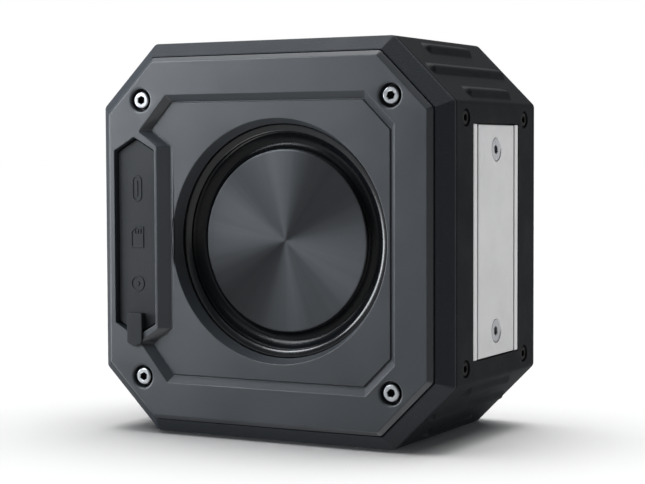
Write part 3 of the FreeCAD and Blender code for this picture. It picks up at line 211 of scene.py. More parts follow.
class Build:
    """Collects rings, walls and filled faces in one mesh, in millimetres."""

    def __init__(self, face=None):
        self.bm = bmesh.new()
        self.face = face or Matrix.Identity(4)

    def ring(self, points, level, face=None):
        matrix = face or self.face
        return [self.bm.verts.new(matrix @ Vector((point[0], point[1], level))) for point in points]

    def skin(self, rings, closed=False):
        """Quads between rings that hold the same number of points."""
        pairs = list(zip(rings, rings[1:]))
        if closed:
            pairs.append((rings[-1], rings[0]))
        for low, high in pairs:
            count = len(low)
            for index in range(count):
                following = (index + 1) % count
                self.bm.faces.new((low[index], low[following], high[following], high[index]))

    def wall(self, outline, profile, face=None, closed=False):
        """Sweeps an (offset, level) profile round an outline, and returns its rings."""
        rings = [self.ring(outline.points(offset), level, face) for offset, level in profile]
        self.skin(rings, closed)
        return rings

    def fill(self, *rings):
        """Flat face bounded by rings: the first outside and the others as holes."""
        edges = []
        for ring in rings:
            for index, vert in enumerate(ring):
                pair = (ring[index - 1], vert)
                edges.append(self.bm.edges.get(pair) or self.bm.edges.new(pair))
        bmesh.ops.triangle_fill(self.bm, use_beauty=True, use_dissolve=False, edges=edges)

    def turned(self, u, v, profile, count=128, face=None):
        """Turns a (radius, level) profile about the axis through (u, v); radius 0 closes it."""
        rings = []
        for radius, level in profile:
            if radius < 1e-6:
                rings.append(self.ring([Vector((u, v))], level, face))
            else:
                rings.append(self.ring(Round(u, v, radius, count).points(), level, face))
        for low, high in zip(rings, rings[1:]):
            for index in range(count):
                following = (index + 1) % count
                corners = [low[index % len(low)], low[following % len(low)],
                           high[following % len(high)], high[index % len(high)]]
                self.bm.faces.new([c for i, c in enumerate(corners) if c not in corners[:i]])
        return rings

    def raised(self, outline, level, tall, face=None, hollow=0.0):
        """Small embossed shape standing on a surface; hollow leaves only a band that wide."""
        edge = min(0.06, tall * 0.4)
        foot, top = level - 0.05, level + tall
        profile = [(0, foot), (0, top - edge), (-edge, top)]
        if hollow:
            profile += [(edge - hollow, top), (-hollow, top - edge), (-hollow, foot)]
            self.wall(outline, profile, face, closed=True)
        else:
            self.capped(outline, profile, face)

    def capped(self, outline, profile, face=None):
        """Wall closed by a flat face at each end."""
        rings = self.wall(outline, profile, face)
        self.fill(rings[0])
        self.fill(rings[-1])

    def loft(self, sections):
        """Bar through (v, [(u, w), ...]) sections, closed at both ends."""
        rings = []
        for v, section in sections:
            rings.append([self.bm.verts.new(self.face @ Vector((u, v, w))) for u, w in section])
        self.skin(rings)
        self.bm.faces.new(rings[0])
        self.bm.faces.new(rings[-1])

    def piece(self, name, body, paint, node, sharp):
        """Finishes the mesh as an object in metres that rides on a CAD body and replaces a CAD node."""
        bmesh.ops.remove_doubles(self.bm, verts=self.bm.verts, dist=1e-4)
        bmesh.ops.recalc_face_normals(self.bm, faces=self.bm.faces)
        self.bm.transform(Matrix.Scale(MM, 4))
        mesh = bpy.data.meshes.new(name)
        self.bm.to_mesh(mesh)
        self.bm.free()
        mesh.polygons.foreach_set("use_smooth", [True] * len(mesh.polygons))
        mesh.set_sharp_from_angle(angle=math.radians(sharp))
        item = bpy.data.objects.new(name, mesh)
        bpy.context.scene.collection.objects.link(item)
        item.data.materials.append(PAINTS[paint])
        weighted = item.modifiers.new("even_normals", "WEIGHTED_NORMAL")
        weighted.keep_sharp = True
        weighted.weight = 80
        if body:
            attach(item, body)
        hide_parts(node)
        return item


# ---- materials

class Paint:
    """Node material with a Principled shader and short ways to add texture."""

    def __init__(self, name, colour, roughness, metallic=0.0, **sockets):
        self.material = bpy.data.materials.new(name)
        self.material.use_nodes = True
        self.tree = self.material.node_tree
        self.shader = self.tree.nodes["Principled BSDF"]
        self.colour = colour
        self.roughness = roughness
        self.shader.inputs["Base Color"].default_value = (*colour, 1)
        self.shader.inputs["Roughness"].default_value = roughness
        self.shader.inputs["Metallic"].default_value = metallic
        for socket, value in sockets.items():
            self.shader.inputs[socket.replace("_", " ")].default_value = value
        self.place = self.node("ShaderNodeTexCoord").outputs["Object"]
        self.bump = None

    def node(self, kind, **settings):
        made = self.tree.nodes.new(kind)
        for name, value in settings.items():
            setattr(made, name, value)
        return made

    def link(self, source, target):
        self.tree.links.new(source, target)

    def add(self, kind, output, values, **settings):
        """New node whose inputs hold a value or follow another node; returns one of its outputs."""
        made = self.node(kind, **settings)
        for key, value in values.items():
            if isinstance(value, bpy.types.NodeSocket):
                self.link(value, made.inputs[key])
            else:
                made.inputs[key].default_value = value
        return made.outputs[output]

    def scaled(self, scale):
        """Object coordinates in metres times a scale, which may differ along each axis."""
        values = {"Scale": scale if isinstance(scale, tuple) else (scale,) * 3, "Vector": self.place}
        return self.add("ShaderNodeMapping", "Vector", values)

    def noise(self, scale, detail=3.0, rough=0.55, vector=None):
        values = {"Scale": 1.0, "Detail": detail, "Roughness": rough, "Vector": vector or self.scaled(scale)}
        return self.add("ShaderNodeTexNoise", "Fac", values)

    def line_noise(self, value, scale, detail, rough):
        """Noise that changes with one value only."""
        spot = self.add("ShaderNodeCombineXYZ", "Vector", {"X": self.math("MULTIPLY", value, scale)})
        return self.noise(1, detail, rough, spot)

    def along(self, axis):
        """Object coordinate along one axis, in metres."""
        return self.add("ShaderNodeSeparateXYZ", axis, {"Vector": self.place})

    def cells(self, scale):
        values = {"Scale": 1.0, "Smoothness": 0.6, "Vector": self.scaled(scale)}
        return self.add("ShaderNodeTexVoronoi", "Distance", values, feature="SMOOTH_F1")

    def between(self, value, low, high, out_low, out_high):
        values = {"Value": value, "From Min": low, "From Max": high, "To Min": out_low, "To Max": out_high}
        return self.add("ShaderNodeMapRange", "Result", values)

    def math(self, operation, first, second):
        return self.add("ShaderNodeMath", "Value", {0: first, 1: second}, operation=operation)

    def tint(self, value, other):
        """Mixes the colour so far towards another colour, by a value from 0 to 1."""
        base = self.shader.inputs["Base Color"]
        before = base.links[0].from_socket if base.is_linked else (*self.colour, 1)
        values = {"A": before, "B": (*other, 1), "Factor": value}
        self.link(self.add("ShaderNodeMix", "Result", values, data_type="RGBA"), base)

    def rough(self, value, low, high):
        """Roughness that follows a texture."""
        self.link(self.between(value, 0.3, 0.7, low, high), self.shader.inputs["Roughness"])

    def relief(self, value, depth, strength=1.0):
        """Adds relief of a texture's height; depth is in metres."""
        values = {"Distance": depth, "Strength": strength, "Height": value}
        if self.bump:
            values["Normal"] = self.bump
        self.bump = self.add("ShaderNodeBump", "Normal", values)
        self.link(self.bump, self.shader.inputs["Normal"])


def moulded(name, colour, roughness, grain, depth, dust=0.0, specular=0.5):
    """Moulded plastic or rubber: fine grain, cloudy sheen and a little dust."""
    paint = Paint(name, colour, roughness, Specular_IOR_Level=specular)
    cloud = paint.noise(60, 4.0)
    paint.rough(cloud, roughness - 0.06, roughness + 0.07)
    paint.tint(paint.between(cloud, 0.35, 0.75, 0.0, 0.35), tuple(c * 1.25 for c in colour))
    if dust:
        specks = paint.between(paint.noise(900, 2.0), 0.62, 0.75, 0.0, dust)
        paint.tint(specks, tuple(c * 2 + 0.008 for c in colour))
    paint.relief(paint.cells(grain), depth)
    return paint.material


def metal(name, colour, roughness, direction=(300, 12000, 300), depth=0.000004, painted_shade=None):
    """Metal with fine scratches; direction is how fast the scratches change along each axis.

    The shade argument is (axis, start, full), in millimetres along that axis: painted shade, a dark tint
    over what lies deeper than the heads' tops and in the gaps beside the magnet plate."""
    paint = Paint(name, colour, roughness, 1.0)
    lines = paint.noise(direction, 3.0, 0.7)
    paint.rough(lines, roughness - 0.07, roughness + 0.1)
    paint.tint(paint.between(paint.noise(90, 3.0), 0.4, 0.8, 0.0, 0.4), tuple(c * 0.8 for c in colour))
    # Painted shade: the colour darkens with depth along the axis, in sockets, down head sides and in the
    # plate's side gaps.
    if painted_shade:
        axis, shade_start, shade_full = painted_shade
        deep = paint.between(paint.along(axis), shade_start * MM, shade_full * MM, 0.0, 1.0)
        paint.tint(deep, (0.006, 0.006, 0.007))
    paint.relief(lines, depth)
    return paint.material


def spun_metal(name, centre):
    """Circular-brushed metal: rings of fine grooves round an axis along Y."""
    paint = Paint(name, (0.066, 0.07, 0.075), 0.38, 1.0, Anisotropic=0.82, Anisotropic_Rotation=0.25)
    across = paint.math("SUBTRACT", paint.along("X"), centre[0])
    up = paint.math("SUBTRACT", paint.along("Z"), centre[1])
    squares = [paint.math("MULTIPLY", side, side) for side in (across, up)]
    radius = paint.math("SQRT", paint.math("ADD", *squares), 0.0)
    grooves = paint.line_noise(radius, 9000.0, 4.0, 0.7)
    paint.rough(grooves, 0.36, 0.46)
    paint.tint(paint.between(grooves, 0.3, 0.7, 0.0, 0.6), (0.042, 0.044, 0.047))
    # Painted reflection: random darker streaks fanning round the axis stand in for the sectors of reflection
    # on the spun finish.
    fan_reflection_streaks = paint.line_noise(paint.math("ARCTAN2", up, across), 3.0, 5.0, 0.6)
    paint.tint(paint.between(fan_reflection_streaks, 0.35, 0.7, 0.0, 0.5), (0.03, 0.032, 0.035))
    paint.relief(grooves, 0.000003)
    tangent = paint.node("ShaderNodeTangent", direction_type="RADIAL", axis="Y")
    paint.link(tangent.outputs["Tangent"], paint.shader.inputs["Tangent"])
    return paint.material


RADIATOR = rear_place("radiator_disc")
# Painted shade in the gaps beside the magnet plate: depth along X where the darkening starts and where it is
# full.
PLATE_GAP_SHADE = ("X", HALF - 0.2, HALF - 0.8)

PAINTS = {
    "sleeve": moulded("sleeve_rubber", (0.0055, 0.007, 0.0095), 0.66, 2600, 0.00004, 0.15, specular=0.16),
    "bumper": moulded("bumper_rubber", (0.0185, 0.022, 0.027), 0.62, 2600, 0.00004, 0.25, specular=0.2),
    "panel": moulded("panel_plastic", (0.0265, 0.0305, 0.0355), 0.44, 4200, 0.000012, dust=0.06),
    "baffle": moulded("baffle_plastic", (0.045, 0.049, 0.055), 0.48, 4200, 0.00003),
    "cover": moulded("cover_rubber", (0.0085, 0.0102, 0.0122), 0.62, 3200, 0.00003, 0.1, specular=0.24),
    "button": moulded("button_rubber", (0.034, 0.037, 0.042), 0.58, 3200, 0.00004),
    "black": moulded("black_plastic", (0.012, 0.012, 0.013), 0.4, 5000, 0.00002),
    "gloss": moulded("gloss_ring", (0.004, 0.0048, 0.0058), 0.2, 9000, 0.000004, specular=0.45),
    "surround": moulded("surround_rubber", (0.0028, 0.0034, 0.0043), 0.26, 7000, 0.000006, specular=0.2),
    "disc": spun_metal("spun_disc", (RADIATOR[0] * MM, (RADIATOR[1] + MIDDLE) * MM)),
    # Both bright screws get painted shade: darker below the head's top, in the socket and down the head's
    # side.
    "screw": metal("bright_screw", (0.52, 0.54, 0.56), 0.34, (900, 900, 900), 0.000006,
                   ("Y", -SCREW_TOP + 0.1, -SCREW_TOP + 0.45)),
    "plate_screw": metal("plate_screw_steel", (0.50, 0.51, 0.53), 0.32, (900, 900, 900), 0.000006,
                         ("X", HALF - 0.7, HALF - 3.2)),
    "dark_screw": metal("black_oxide", (0.016, 0.0148, 0.014), 0.52, (900, 900, 900), 0.000006),
    "plate": metal("satin_steel", (0.86, 0.86, 0.865), 0.4, (12000, 12000, 260), painted_shade=PLATE_GAP_SHADE),
    "magnet": metal("nickel_bar", (0.79, 0.79, 0.795), 0.4, (12000, 12000, 260), painted_shade=PLATE_GAP_SHADE),
    "grille": moulded("grille_coat", (0.02, 0.021, 0.023), 0.42, 5200, 0.00003),
    "steel": metal("plain_steel", (0.5, 0.5, 0.52), 0.32, (700, 700, 700)),
    "brass": metal("brass", (0.72, 0.5, 0.2), 0.3, (800, 800, 800)),
    "copper": metal("copper_wire", (0.6, 0.26, 0.12), 0.3, (300, 9000, 300)),
    "ferrite": moulded("ferrite", (0.05, 0.05, 0.054), 0.55, 1800, 0.00005),
    "cone": moulded("cone_paper", (0.03, 0.03, 0.032), 0.75, 1500, 0.00008),
    "spider": moulded("spider_cloth", (0.5, 0.36, 0.16), 0.8, 1800, 0.0001),
    "board": moulded("solder_mask", (0.012, 0.085, 0.035), 0.32, 900, 0.00003),
    "cell": moulded("cell_wrap", (0.03, 0.11, 0.3), 0.3, 1200, 0.00001),
    "wire": moulded("wire_red", (0.4, 0.02, 0.02), 0.4, 1500, 0.00001),
    "foam": moulded("gasket_foam", (0.02, 0.02, 0.02), 0.9, 1600, 0.0001),
}

CAD_PAINTS = {
    "black": ["housing_shell", "radiator_frame", "radiator_carrier", "line_in_jack", "battery_holder",
              "battery_strap", "tact_switches", "board_components", "driver_basket"],
    "foam": ["rear_gasket", "front_gasket", "radiator_gasket", "driver_gasket"],
    "dark_screw": ["front_screws", "radiator_screws", "driver_screws"],
    "steel": ["usb_c_port", "card_socket", "bluetooth_module", "microphone", "radiator_weight",
              "driver_top_plate", "driver_yoke", "board_screws", "button_board_screws"],
    "brass": ["screw_inserts", "magnet_inserts"],
    "copper": ["driver_voice_coil"],
    "ferrite": ["driver_magnet"],
    "board": ["main_board", "button_board"],
    "cell": ["battery_cell"],
    "wire": ["speaker_leads", "battery_leads"],
}


def paint_cad_nodes():
    for paint, nodes in CAD_PAINTS.items():
        for node in nodes:
            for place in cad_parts[node].material_slots:
                place.material = PAINTS[paint]


# ---- rubber sleeve and bumpers

BUTTONS = ["power_button", "volume_down_button", "play_button", "volume_up_button"]
BUTTON_HOLE, MICROPHONE_HOLE = 4.9, 0.6
MAGNET_HALF_WIDE = half_of("magnet_channel", Y)
MAGNET_HALF_TALL = half_of("magnet_channel", Z)
SIDE_HEAD, SIDE_RECESS = 1.9, 2.2
SIDE_SCREW = (half_of("side_screws", Y) - SIDE_HEAD, half_of("side_screws", Z) - SIDE_HEAD)
RIB_PITCH, RIB_WIDE, RIB_TALL = 7.65, 3.2, 1.0
RIB_REACH = {-1: 13.5, 0: 22.5, 1: 13.5}


def side_holes(side):
    """Outlines cut through one side of the sleeve, in that side's frame."""
    if side == 0:
        window = box_outline(0, 0, MAGNET_HALF_WIDE + 0.25, MAGNET_HALF_TALL + 0.3, 0.4)
        screws = [Round(u * SIDE_SCREW[0], v * SIDE_SCREW[1], SIDE_RECESS, 40) for u, v in CORNERS]
        return [window] + screws
    if side == 2:
        buttons = [Round(0, -middle_of(name, X), BUTTON_HOLE, 64) for name in BUTTONS]
        return buttons + [Round(middle_of("microphone", Y), 0, MICROPHONE_HOLE, 20)]
    return []


def make_sleeve():
    build = Build(REAR)
    lip, mouth = 0.35, 0.25
    outer, inner = octagon(HALF), octagon(SLEEVE_INSIDE)
    reach = SLEEVE_END - lip
    thick = HALF - SLEEVE_INSIDE
    for end in (-1, 1):
        edge = soften([(0, end * reach), (0, end * SLEEVE_END), (-thick / 2, end * SLEEVE_END)], lip)
        rings = build.wall(outer, edge)
        build.skin([rings[-1], build.ring(inner.points(), end * SLEEVE_END)])
    for side in range(8):
        matrix = side_frame(side * 45)
        holes = side_holes(side)
        levels = []
        for outline, depth, offset in ((outer, reach, mouth), (inner, SLEEVE_END, 0)):
            low, high, level = side_flat(outline, side, matrix)
            levels.append(level)
            square = [(-depth, low), (depth, low), (depth, high), (-depth, high)]
            rings = [build.ring(square, level, matrix)]
            rings += [build.ring(hole.points(offset), level, matrix) for hole in holes]
            if offset and side % 2:
                rings += [rib(build, matrix, level, row) for row in (-1, 0, 1)]
            build.fill(*rings)
            fold(build, outline, side, depth)
        for hole in holes:
            profile = [(mouth, levels[0]), (0, levels[0]), (0, levels[1])]
            build.wall(hole, soften(profile, mouth), matrix)
    build.piece("sleeve_skin", "root", "sleeve", "side_sleeve", 42)


def side_flat(outline, side, matrix):
    """Where the flat of one side starts and ends along v, and how far out it lies."""
    points = outline.points()
    arc = outline.steps + 1
    # Outline corner 0 is low on the right, so side 0 runs from corner 0 to corner 1, and so on round.
    start = points[side * arc + outline.steps]
    end = points[((side + 1) % 8) * arc]
    back = matrix.inverted()
    first, last = (back @ Vector((p.x, 0, p.y + MIDDLE)) for p in (start, end))
    return first.y, last.y, first.z


def fold(build, outline, side, depth):
    """The rounded upright edge at the start of a side."""
    arc = outline.steps + 1
    points = outline.points()[side * arc:(side + 1) * arc]
    low = build.ring(points, -depth)
    high = build.ring(points, depth)
    for index in range(arc - 1):
        build.bm.faces.new((low[index], low[index + 1], high[index + 1], high[index]))


def rib(build, matrix, level, row):
    """Rounded grip rib with a soft foot. Returns the ring where it meets the face."""
    radius = RIB_WIDE / 2
    foot, crown, steps = 0.6, 0.05, 14
    outline = box_outline(0, row * RIB_PITCH, RIB_REACH[row], radius, radius - 0.01, 12)
    profile = []
    for step in range(steps + 1):
        share = step / steps
        rise = RIB_TALL * (1 - math.cos(math.pi * share)) / 2
        profile.append((foot - (radius + foot - crown) * share, level + rise))
    rings = build.wall(outline, profile, matrix)
    build.fill(rings[-1])
    return rings[0]


def make_bumper(name, face, node):
    build = Build(face)
    come_in = (BUMPER_LIP - RIDGE) * BEVEL
    inside = HALF - BUMPER_INSIDE
    profile = soften([(-1.5, BUMPER_BACK), (0, BUMPER_BACK), (0, RIDGE), (-come_in, BUMPER_LIP),
                      (-inside, BUMPER_LIP), (-inside, BUMPER_BACK), (-1.6, BUMPER_BACK)],
                     [0, 0.3, 0.9, 0.3, 0.12, 0.1, 0])
    build.wall(octagon(HALF), profile, closed=True)
    build.piece(name, "root", "bumper", node, 60)


# ---- rear panel

FIELD_FLOOR, FIELD_RUN = 28.9, 1.5
NOTCH_TOP, NOTCH_FLOOR = 30.7, 28.1  # beside the port recess, from the middle
THROAT = 30.5
THROAT_BACK = 29.26
PORT_U = middle_of("port_cover_anchor", X)
PORT_V = 0.4
PORT_HALF = half_of("port_cover_anchor", X) + 0.5
PORT_SHOULDER, PORT_APEX = 22.3, 25.75
PORT_FLOOR = -span("port_cover_anchor", Y)[1]
JACK_MOUTH = 3.1
COUNTERBORE, SCREW_HOLE = 2.9, 1.4
REAR_SEAT, FRONT_SEAT = 27.9, 27.1


def field_outline(run, notch, notch_half):
    """The sunk field round the radiator, `run` larger than its floor; it steps in beside the ports."""
    # Each place on the field's floor, and how much of the run its corner moves outwards.
    places = ((35.2, 1), (27.8, 0.667), (27.2, 0.467), (34.0, 1.467), (27.35, -0.2))
    half, start, left, out, rise = (place + run * share for place, share in places)
    corners = [(-left, -half), (start, -half), (half, -start), (half, start), (start, half), (-left, half),
               (-out, PORT_V + rise), (-notch, PORT_V + notch_half),
               (-notch, PORT_V - notch_half), (-out, PORT_V - rise)]
    return Polygon(corners, 0.6)


def port_outline():
    corners = []
    for end in (-1, 1):
        for side, rise in ((1, PORT_SHOULDER), (0, PORT_APEX), (-1, PORT_SHOULDER)):
            corners.append((PORT_U + side * end * PORT_HALF, PORT_V + end * rise))
    return Polygon(corners, [0.5, 0.8, 0.5] * 2)


def port_mouths():
    """Openings in the recess floor, a little larger than what shows through them."""
    play = 0.2
    mouths = []
    for node in ("usb_c_port", "card_socket"):
        mouths.append(box_outline(*rear_place(node), half_of(node, X) + play, half_of(node, Z) + play, 0.3))
    return mouths + [Round(*rear_place("line_in_jack"), JACK_MOUTH, 40)]


def panel_edge(build, outline):
    """The panel's side and edge bevel; returns its rings from the rim to the face."""
    bevel = 1.1
    profile = [(0, PANEL_RIM), (0, FACE - bevel), (-bevel, FACE), (-bevel - 0.7, FACE)]
    return build.wall(outline, soften(profile, [0, 0.3, 0.45, 0]))


def screw_wells(build, profile, count):
    """Counterbored screw holes; returns the rings at their mouths and at the back."""
    tops, backs = [], []
    for u, v in CORNERS:
        rings = build.wall(Round(u * SCREW_PLACE, v * SCREW_PLACE, COUNTERBORE, count), profile)
        tops.append(rings[0])
        backs.append(rings[-1])
    return tops, backs


def panel_back(build, edge, *holes):
    """Closes a panel behind, with the rim that holds its gasket."""
    rim = build.wall(octagon(GASKET_INSIDE), [(0, PANEL_RIM), (0, PANEL_BACK)])
    build.skin([edge[0], rim[0]])
    build.fill(rim[-1], *holes)


def field_slope(build):
    """Slope from the face down to the field, with a narrow groove at its foot; returns its rings."""
    starts = field_outline(FIELD_RUN, NOTCH_TOP, 23.25).points()
    ends = field_outline(0, NOTCH_FLOOR, 23.3).points()
    groove = FIELD_FLOOR - 0.35
    profile = [(-0.18, FACE), (0, FACE), (0.95, FIELD_FLOOR), (1.1, groove), (1.3, groove),
               (1.4, FIELD_FLOOR), (1.55, FIELD_FLOOR)]
    rings = []
    for share, level in soften(profile, [0, 0.3, 0, 0.1, 0.1, 0.15, 0], 5):
        rings.append(build.ring([start.lerp(end, share) for start, end in zip(starts, ends)], level))
    build.skin(rings)
    return rings


def make_rear_panel():
    build = Build(REAR)
    edge = panel_edge(build, octagon(PANEL_HALF))
    shank = SCREW_HOLE - COUNTERBORE
    wells, backs = screw_wells(build, soften(
        [(0.6, FACE), (0.15, FACE - 0.14), (0, FACE - 0.45), (0, REAR_SEAT), (shank, REAR_SEAT),
         (shank, PANEL_BACK)], [0, 0.4, 0.2, 0.15, 0.1, 0]), 56)
    profile = [(0.3, FACE), (0, FACE), (0, PORT_FLOOR), (-0.4, PORT_FLOOR)]
    port = build.wall(port_outline(), soften(profile, [0, 0.35, 0.15, 0]))
    mouths = [build.wall(mouth, [(0, PORT_FLOOR), (0, PANEL_BACK)]) for mouth in port_mouths()]
    build.fill(port[-1], *[rings[0] for rings in mouths])
    slope = field_slope(build)
    profile = [(0.35, FIELD_FLOOR), (0, FIELD_FLOOR), (THROAT_BACK - THROAT, PANEL_BACK)]
    throat = build.wall(Round(*RADIATOR, THROAT, 160), soften(profile, [0, 0.35, 0]))
    build.fill(edge[-1], slope[0], port[0], *wells)
    build.fill(slope[-1], throat[0])
    panel_back(build, edge, throat[-1], *backs, *[rings[-1] for rings in mouths])
    build.piece("rear_panel_shell", "root", "panel", "rear_panel", 38)


# ---- screws

def cap_screw(build, u, v, top, radius, tall, socket, turn, matrix=None, knurls=36):
    """Socket head: chamfered rim, knurled side, hexagon socket with a dished end."""
    chamfer = radius * 0.13
    floor = top - tall * 0.62
    knurl = 0.985
    rim = Round(u, v, radius, knurls * 4)
    rings = []
    profile = [(0, top - tall), (0, top - chamfer), (-chamfer, top), (-chamfer * 2.2, top)]
    for offset, level in soften(profile, [0, 0.1, 0.12, 0]):
        points = rim.points(offset)
        if level < top - chamfer * 1.2:
            points = [p if i % 4 < 2 else rim.centre.lerp(p, knurl) for i, p in enumerate(points)]
        rings.append(build.ring(points, level, matrix))
    build.skin(rings)
    build.fill(rings[0])
    profile = [(0.14, top), (0, top - 0.12), (0, floor), (-socket * 0.45, floor - 0.25)]
    key_socket(build, hexagon(u, v, socket, turn), profile, rings[-1], matrix)


def key_socket(build, key, profile, rim, matrix=None):
    """Sinks a key socket in the flat top of a screw."""
    mouth = build.wall(key, profile, matrix)
    build.fill(mouth[-1])
    build.fill(rim, mouth[0])


def make_rear_screws():
    build = Build(REAR)
    radius, tall, socket, shank, long = 2.12, 2.4, 1.1, 1.25, 10.4
    seat, point = SCREW_TOP - tall, SCREW_TOP - long
    profile = [(0, seat), (shank, seat), (shank, point + 0.4), (shank - 0.35, point), (0, point)]
    for index, (side, rise) in enumerate(((-1, -1), (1, -1), (1, 1), (-1, 1))):
        u, v = side * SCREW_PLACE, rise * SCREW_PLACE
        cap_screw(build, u, v, SCREW_TOP, radius, tall, socket, 0.5 + index * 0.37)
        build.turned(u, v, profile, 24)
    build.piece("case_screws", "root", "screw", "rear_screws", 35)


# ---- passive radiator

TRIM_OUT, TRIM_BORE, TRIM_SEAT = 29.1, 27.2, 24.2
DISC_RIM, DISC_TOP, DISC_BACK = 22.9, 24.4, 23.4


def ring_band(build, u, v, profile, count=160):
    """Turned closed band."""
    rings = [build.ring(Round(u, v, radius, count).points(), level) for radius, level in profile]
    build.skin(rings, closed=True)


def make_radiator():
    build = Build(REAR)
    top = TRIM_SEAT + 1.3
    crown = []
    for step in range(13):
        turn = math.radians(step * 7)
        crown.append((28.9 - 1.68 * math.sin(turn), top - 0.75 * (1 - math.cos(turn))))
    outside = [(TRIM_OUT, TRIM_SEAT), (TRIM_OUT, top - 0.1), (TRIM_OUT - 0.1, top)]
    ring_band(build, *RADIATOR, outside + crown + [(TRIM_BORE, TRIM_SEAT)])
    build.piece("trim_ring", "root", "gloss", "radiator_trim_ring", 50)
    make_surround()
    build = Build(REAR)
    edge = soften([(DISC_RIM - 1.2, DISC_TOP), (DISC_RIM, DISC_TOP), (DISC_RIM, DISC_BACK),
                   (DISC_RIM - 1, DISC_BACK)], [0, 0.55, 0.1, 0], 6)
    face = [(radius, DISC_TOP) for radius in (0, 6, 14, DISC_RIM - 1.6)]
    build.turned(*RADIATOR, face + edge + [(0, DISC_BACK)], 192)
    build.piece("spun_disc", "radiator", "disc", "radiator_disc", 50)


def roll_section(inside, outside, sag, steps=14):
    """Roll between two (radius, level) edges; positive sag sinks it."""
    made = []
    for step in range(steps + 1):
        share = step / steps
        spot = Vector(inside).lerp(Vector(outside), share)
        made.append((spot.x, spot.y - sag * math.sin(math.pi * share) ** 0.75))
    return made


def flexible_ring(name, paint, node, face, centre, upper, thick, moving, child, count):
    """Turned band of a flexible part, left unparented with its placement baked into the mesh.

    moving, the radii between which it gives, is not used."""
    build = Build(face)
    lower = [(radius, level - thick) for radius, level in reversed(upper)]
    ring_band(build, *centre, upper + lower, count)
    item = build.piece(name, None, paint, node, 70)
    blend_roll(item, child, centre, *moving, face)


def blend_roll(item, child, centre, r_moving, r_fixed, face):
    """Unparents a surround and bakes its placement into its mesh."""
    item.parent = None
    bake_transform(item)


def make_surround():
    rolls = (22.95, 27.1)
    upper = [(20.6, DISC_BACK), (22.6, DISC_BACK)]
    upper += roll_section((rolls[0], DISC_BACK), (rolls[1], TRIM_SEAT), 1.5)
    upper += [(27.4, TRIM_SEAT), (TRIM_OUT, TRIM_SEAT)]
    flexible_ring("roll_surround", "surround", "radiator_surround", REAR, RADIATOR, upper, 0.55, rolls,
                  "radiator", 160)


# ---- port cover

COVER_FACE, COVER_BACK = 29.5, 27.3
HINGE_V = PORT_V + 20.05


def cover_corners(end, side):
    """Outline from a straight end to the recess's upper point (side 1) or its lower one (-1)."""
    left, right = PORT_U - PORT_HALF + 0.5, PORT_U + PORT_HALF - 0.5
    tip = PORT_V + side * (PORT_APEX - 0.55)
    shoulder = PORT_V + side * (PORT_SHOULDER - 0.4)
    corners = [(left, end), (right, end), (right, shoulder), (PORT_U, tip), (left, shoulder)]
    return corners[::side]


def slab(build, outline, low, high, edge):
    """Flat piece with soft edges."""
    profile = [(-edge, low), (0, low), (0, high), (-edge * 1.5, high)]
    build.capped(outline, soften(profile, [0, edge * 0.5, edge, 0]))


def make_port_cover():
    build = Build(REAR)
    web = 0.25
    outline = Polygon(cover_corners(HINGE_V - web, -1), [0.5, 0.8, 0.5, 0.1, 0.1])
    slab(build, outline, COVER_BACK, COVER_FACE, 0.3)
    build_tab(build)
    root = COVER_BACK + 0.3
    plug = [(0, 25.2), (1.1, 25.2), (1.5, 25.6), (1.5, root), (0, root)]
    build.turned(*rear_place("line_in_jack"), plug, 40)
    slab(build, box_outline(*rear_place("usb_c_port"), 0.9, 3.5, 0.5), 26.25, root, 0.15)
    port_icons(build)
    build.piece("port_flap", "port_cover", "cover", "port_cover", 40)
    build = Build(REAR)
    outline = Polygon(cover_corners(HINGE_V + web, 1), [0.1, 0.1, 0.5, 0.8, 0.5])
    slab(build, outline, PORT_FLOOR, COVER_FACE, 0.3)
    build.piece("port_flap_anchor", "root", "cover", "port_cover_anchor", 40)
    make_hinge()


def make_hinge():
    """Thin web of rubber that the cover swings about, lapped over cover and anchor."""
    build = Build(REAR)
    sections = []
    lap, half, top, edge, steps = 0.95, PORT_HALF - 0.52, COVER_FACE + 0.01, 0.1, 8
    left, right = PORT_U - half, PORT_U + half
    for step in range(-steps, steps + 1):
        low = top - 0.3 + 0.12 * math.cos(math.pi * step / (2 * steps)) ** 8
        section = [(left, low), (right, low), (right, top - edge), (right - edge, top), (left + edge, top),
                   (left, top - edge)]
        sections.append((HINGE_V + lap * step / steps, section))
    build.loft(sections)
    item = build.piece("port_flap_hinge", None, "cover", "port_cover_hinge", 50)
    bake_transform(item)


def build_tab(build):
    """Pull tab: rises out of the cover and bridges the recess's lower point."""
    half = 2.3
    top = -span("port_cover", Y)[0] - 0.1
    rise = top - 0.5
    left, right = PORT_U - half, PORT_U + half
    start, shoulder, tip, riser = (PORT_V - v for v in (19.5, 27.3, 28.3, 23.6))
    corners = [(left, shoulder), (PORT_U, tip), (right, shoulder), (right, start), (left, start)]
    slab(build, Polygon(corners, [0.7, 0.9, 0.7, 0.6, 0.6]), rise, top, 0.3)
    block = box_outline(PORT_U, (start + riser) / 2, half - 0.05, (start - riser) / 2, 0.5)
    slab(build, block, COVER_FACE - 0.5, rise + 0.2, 0.1)


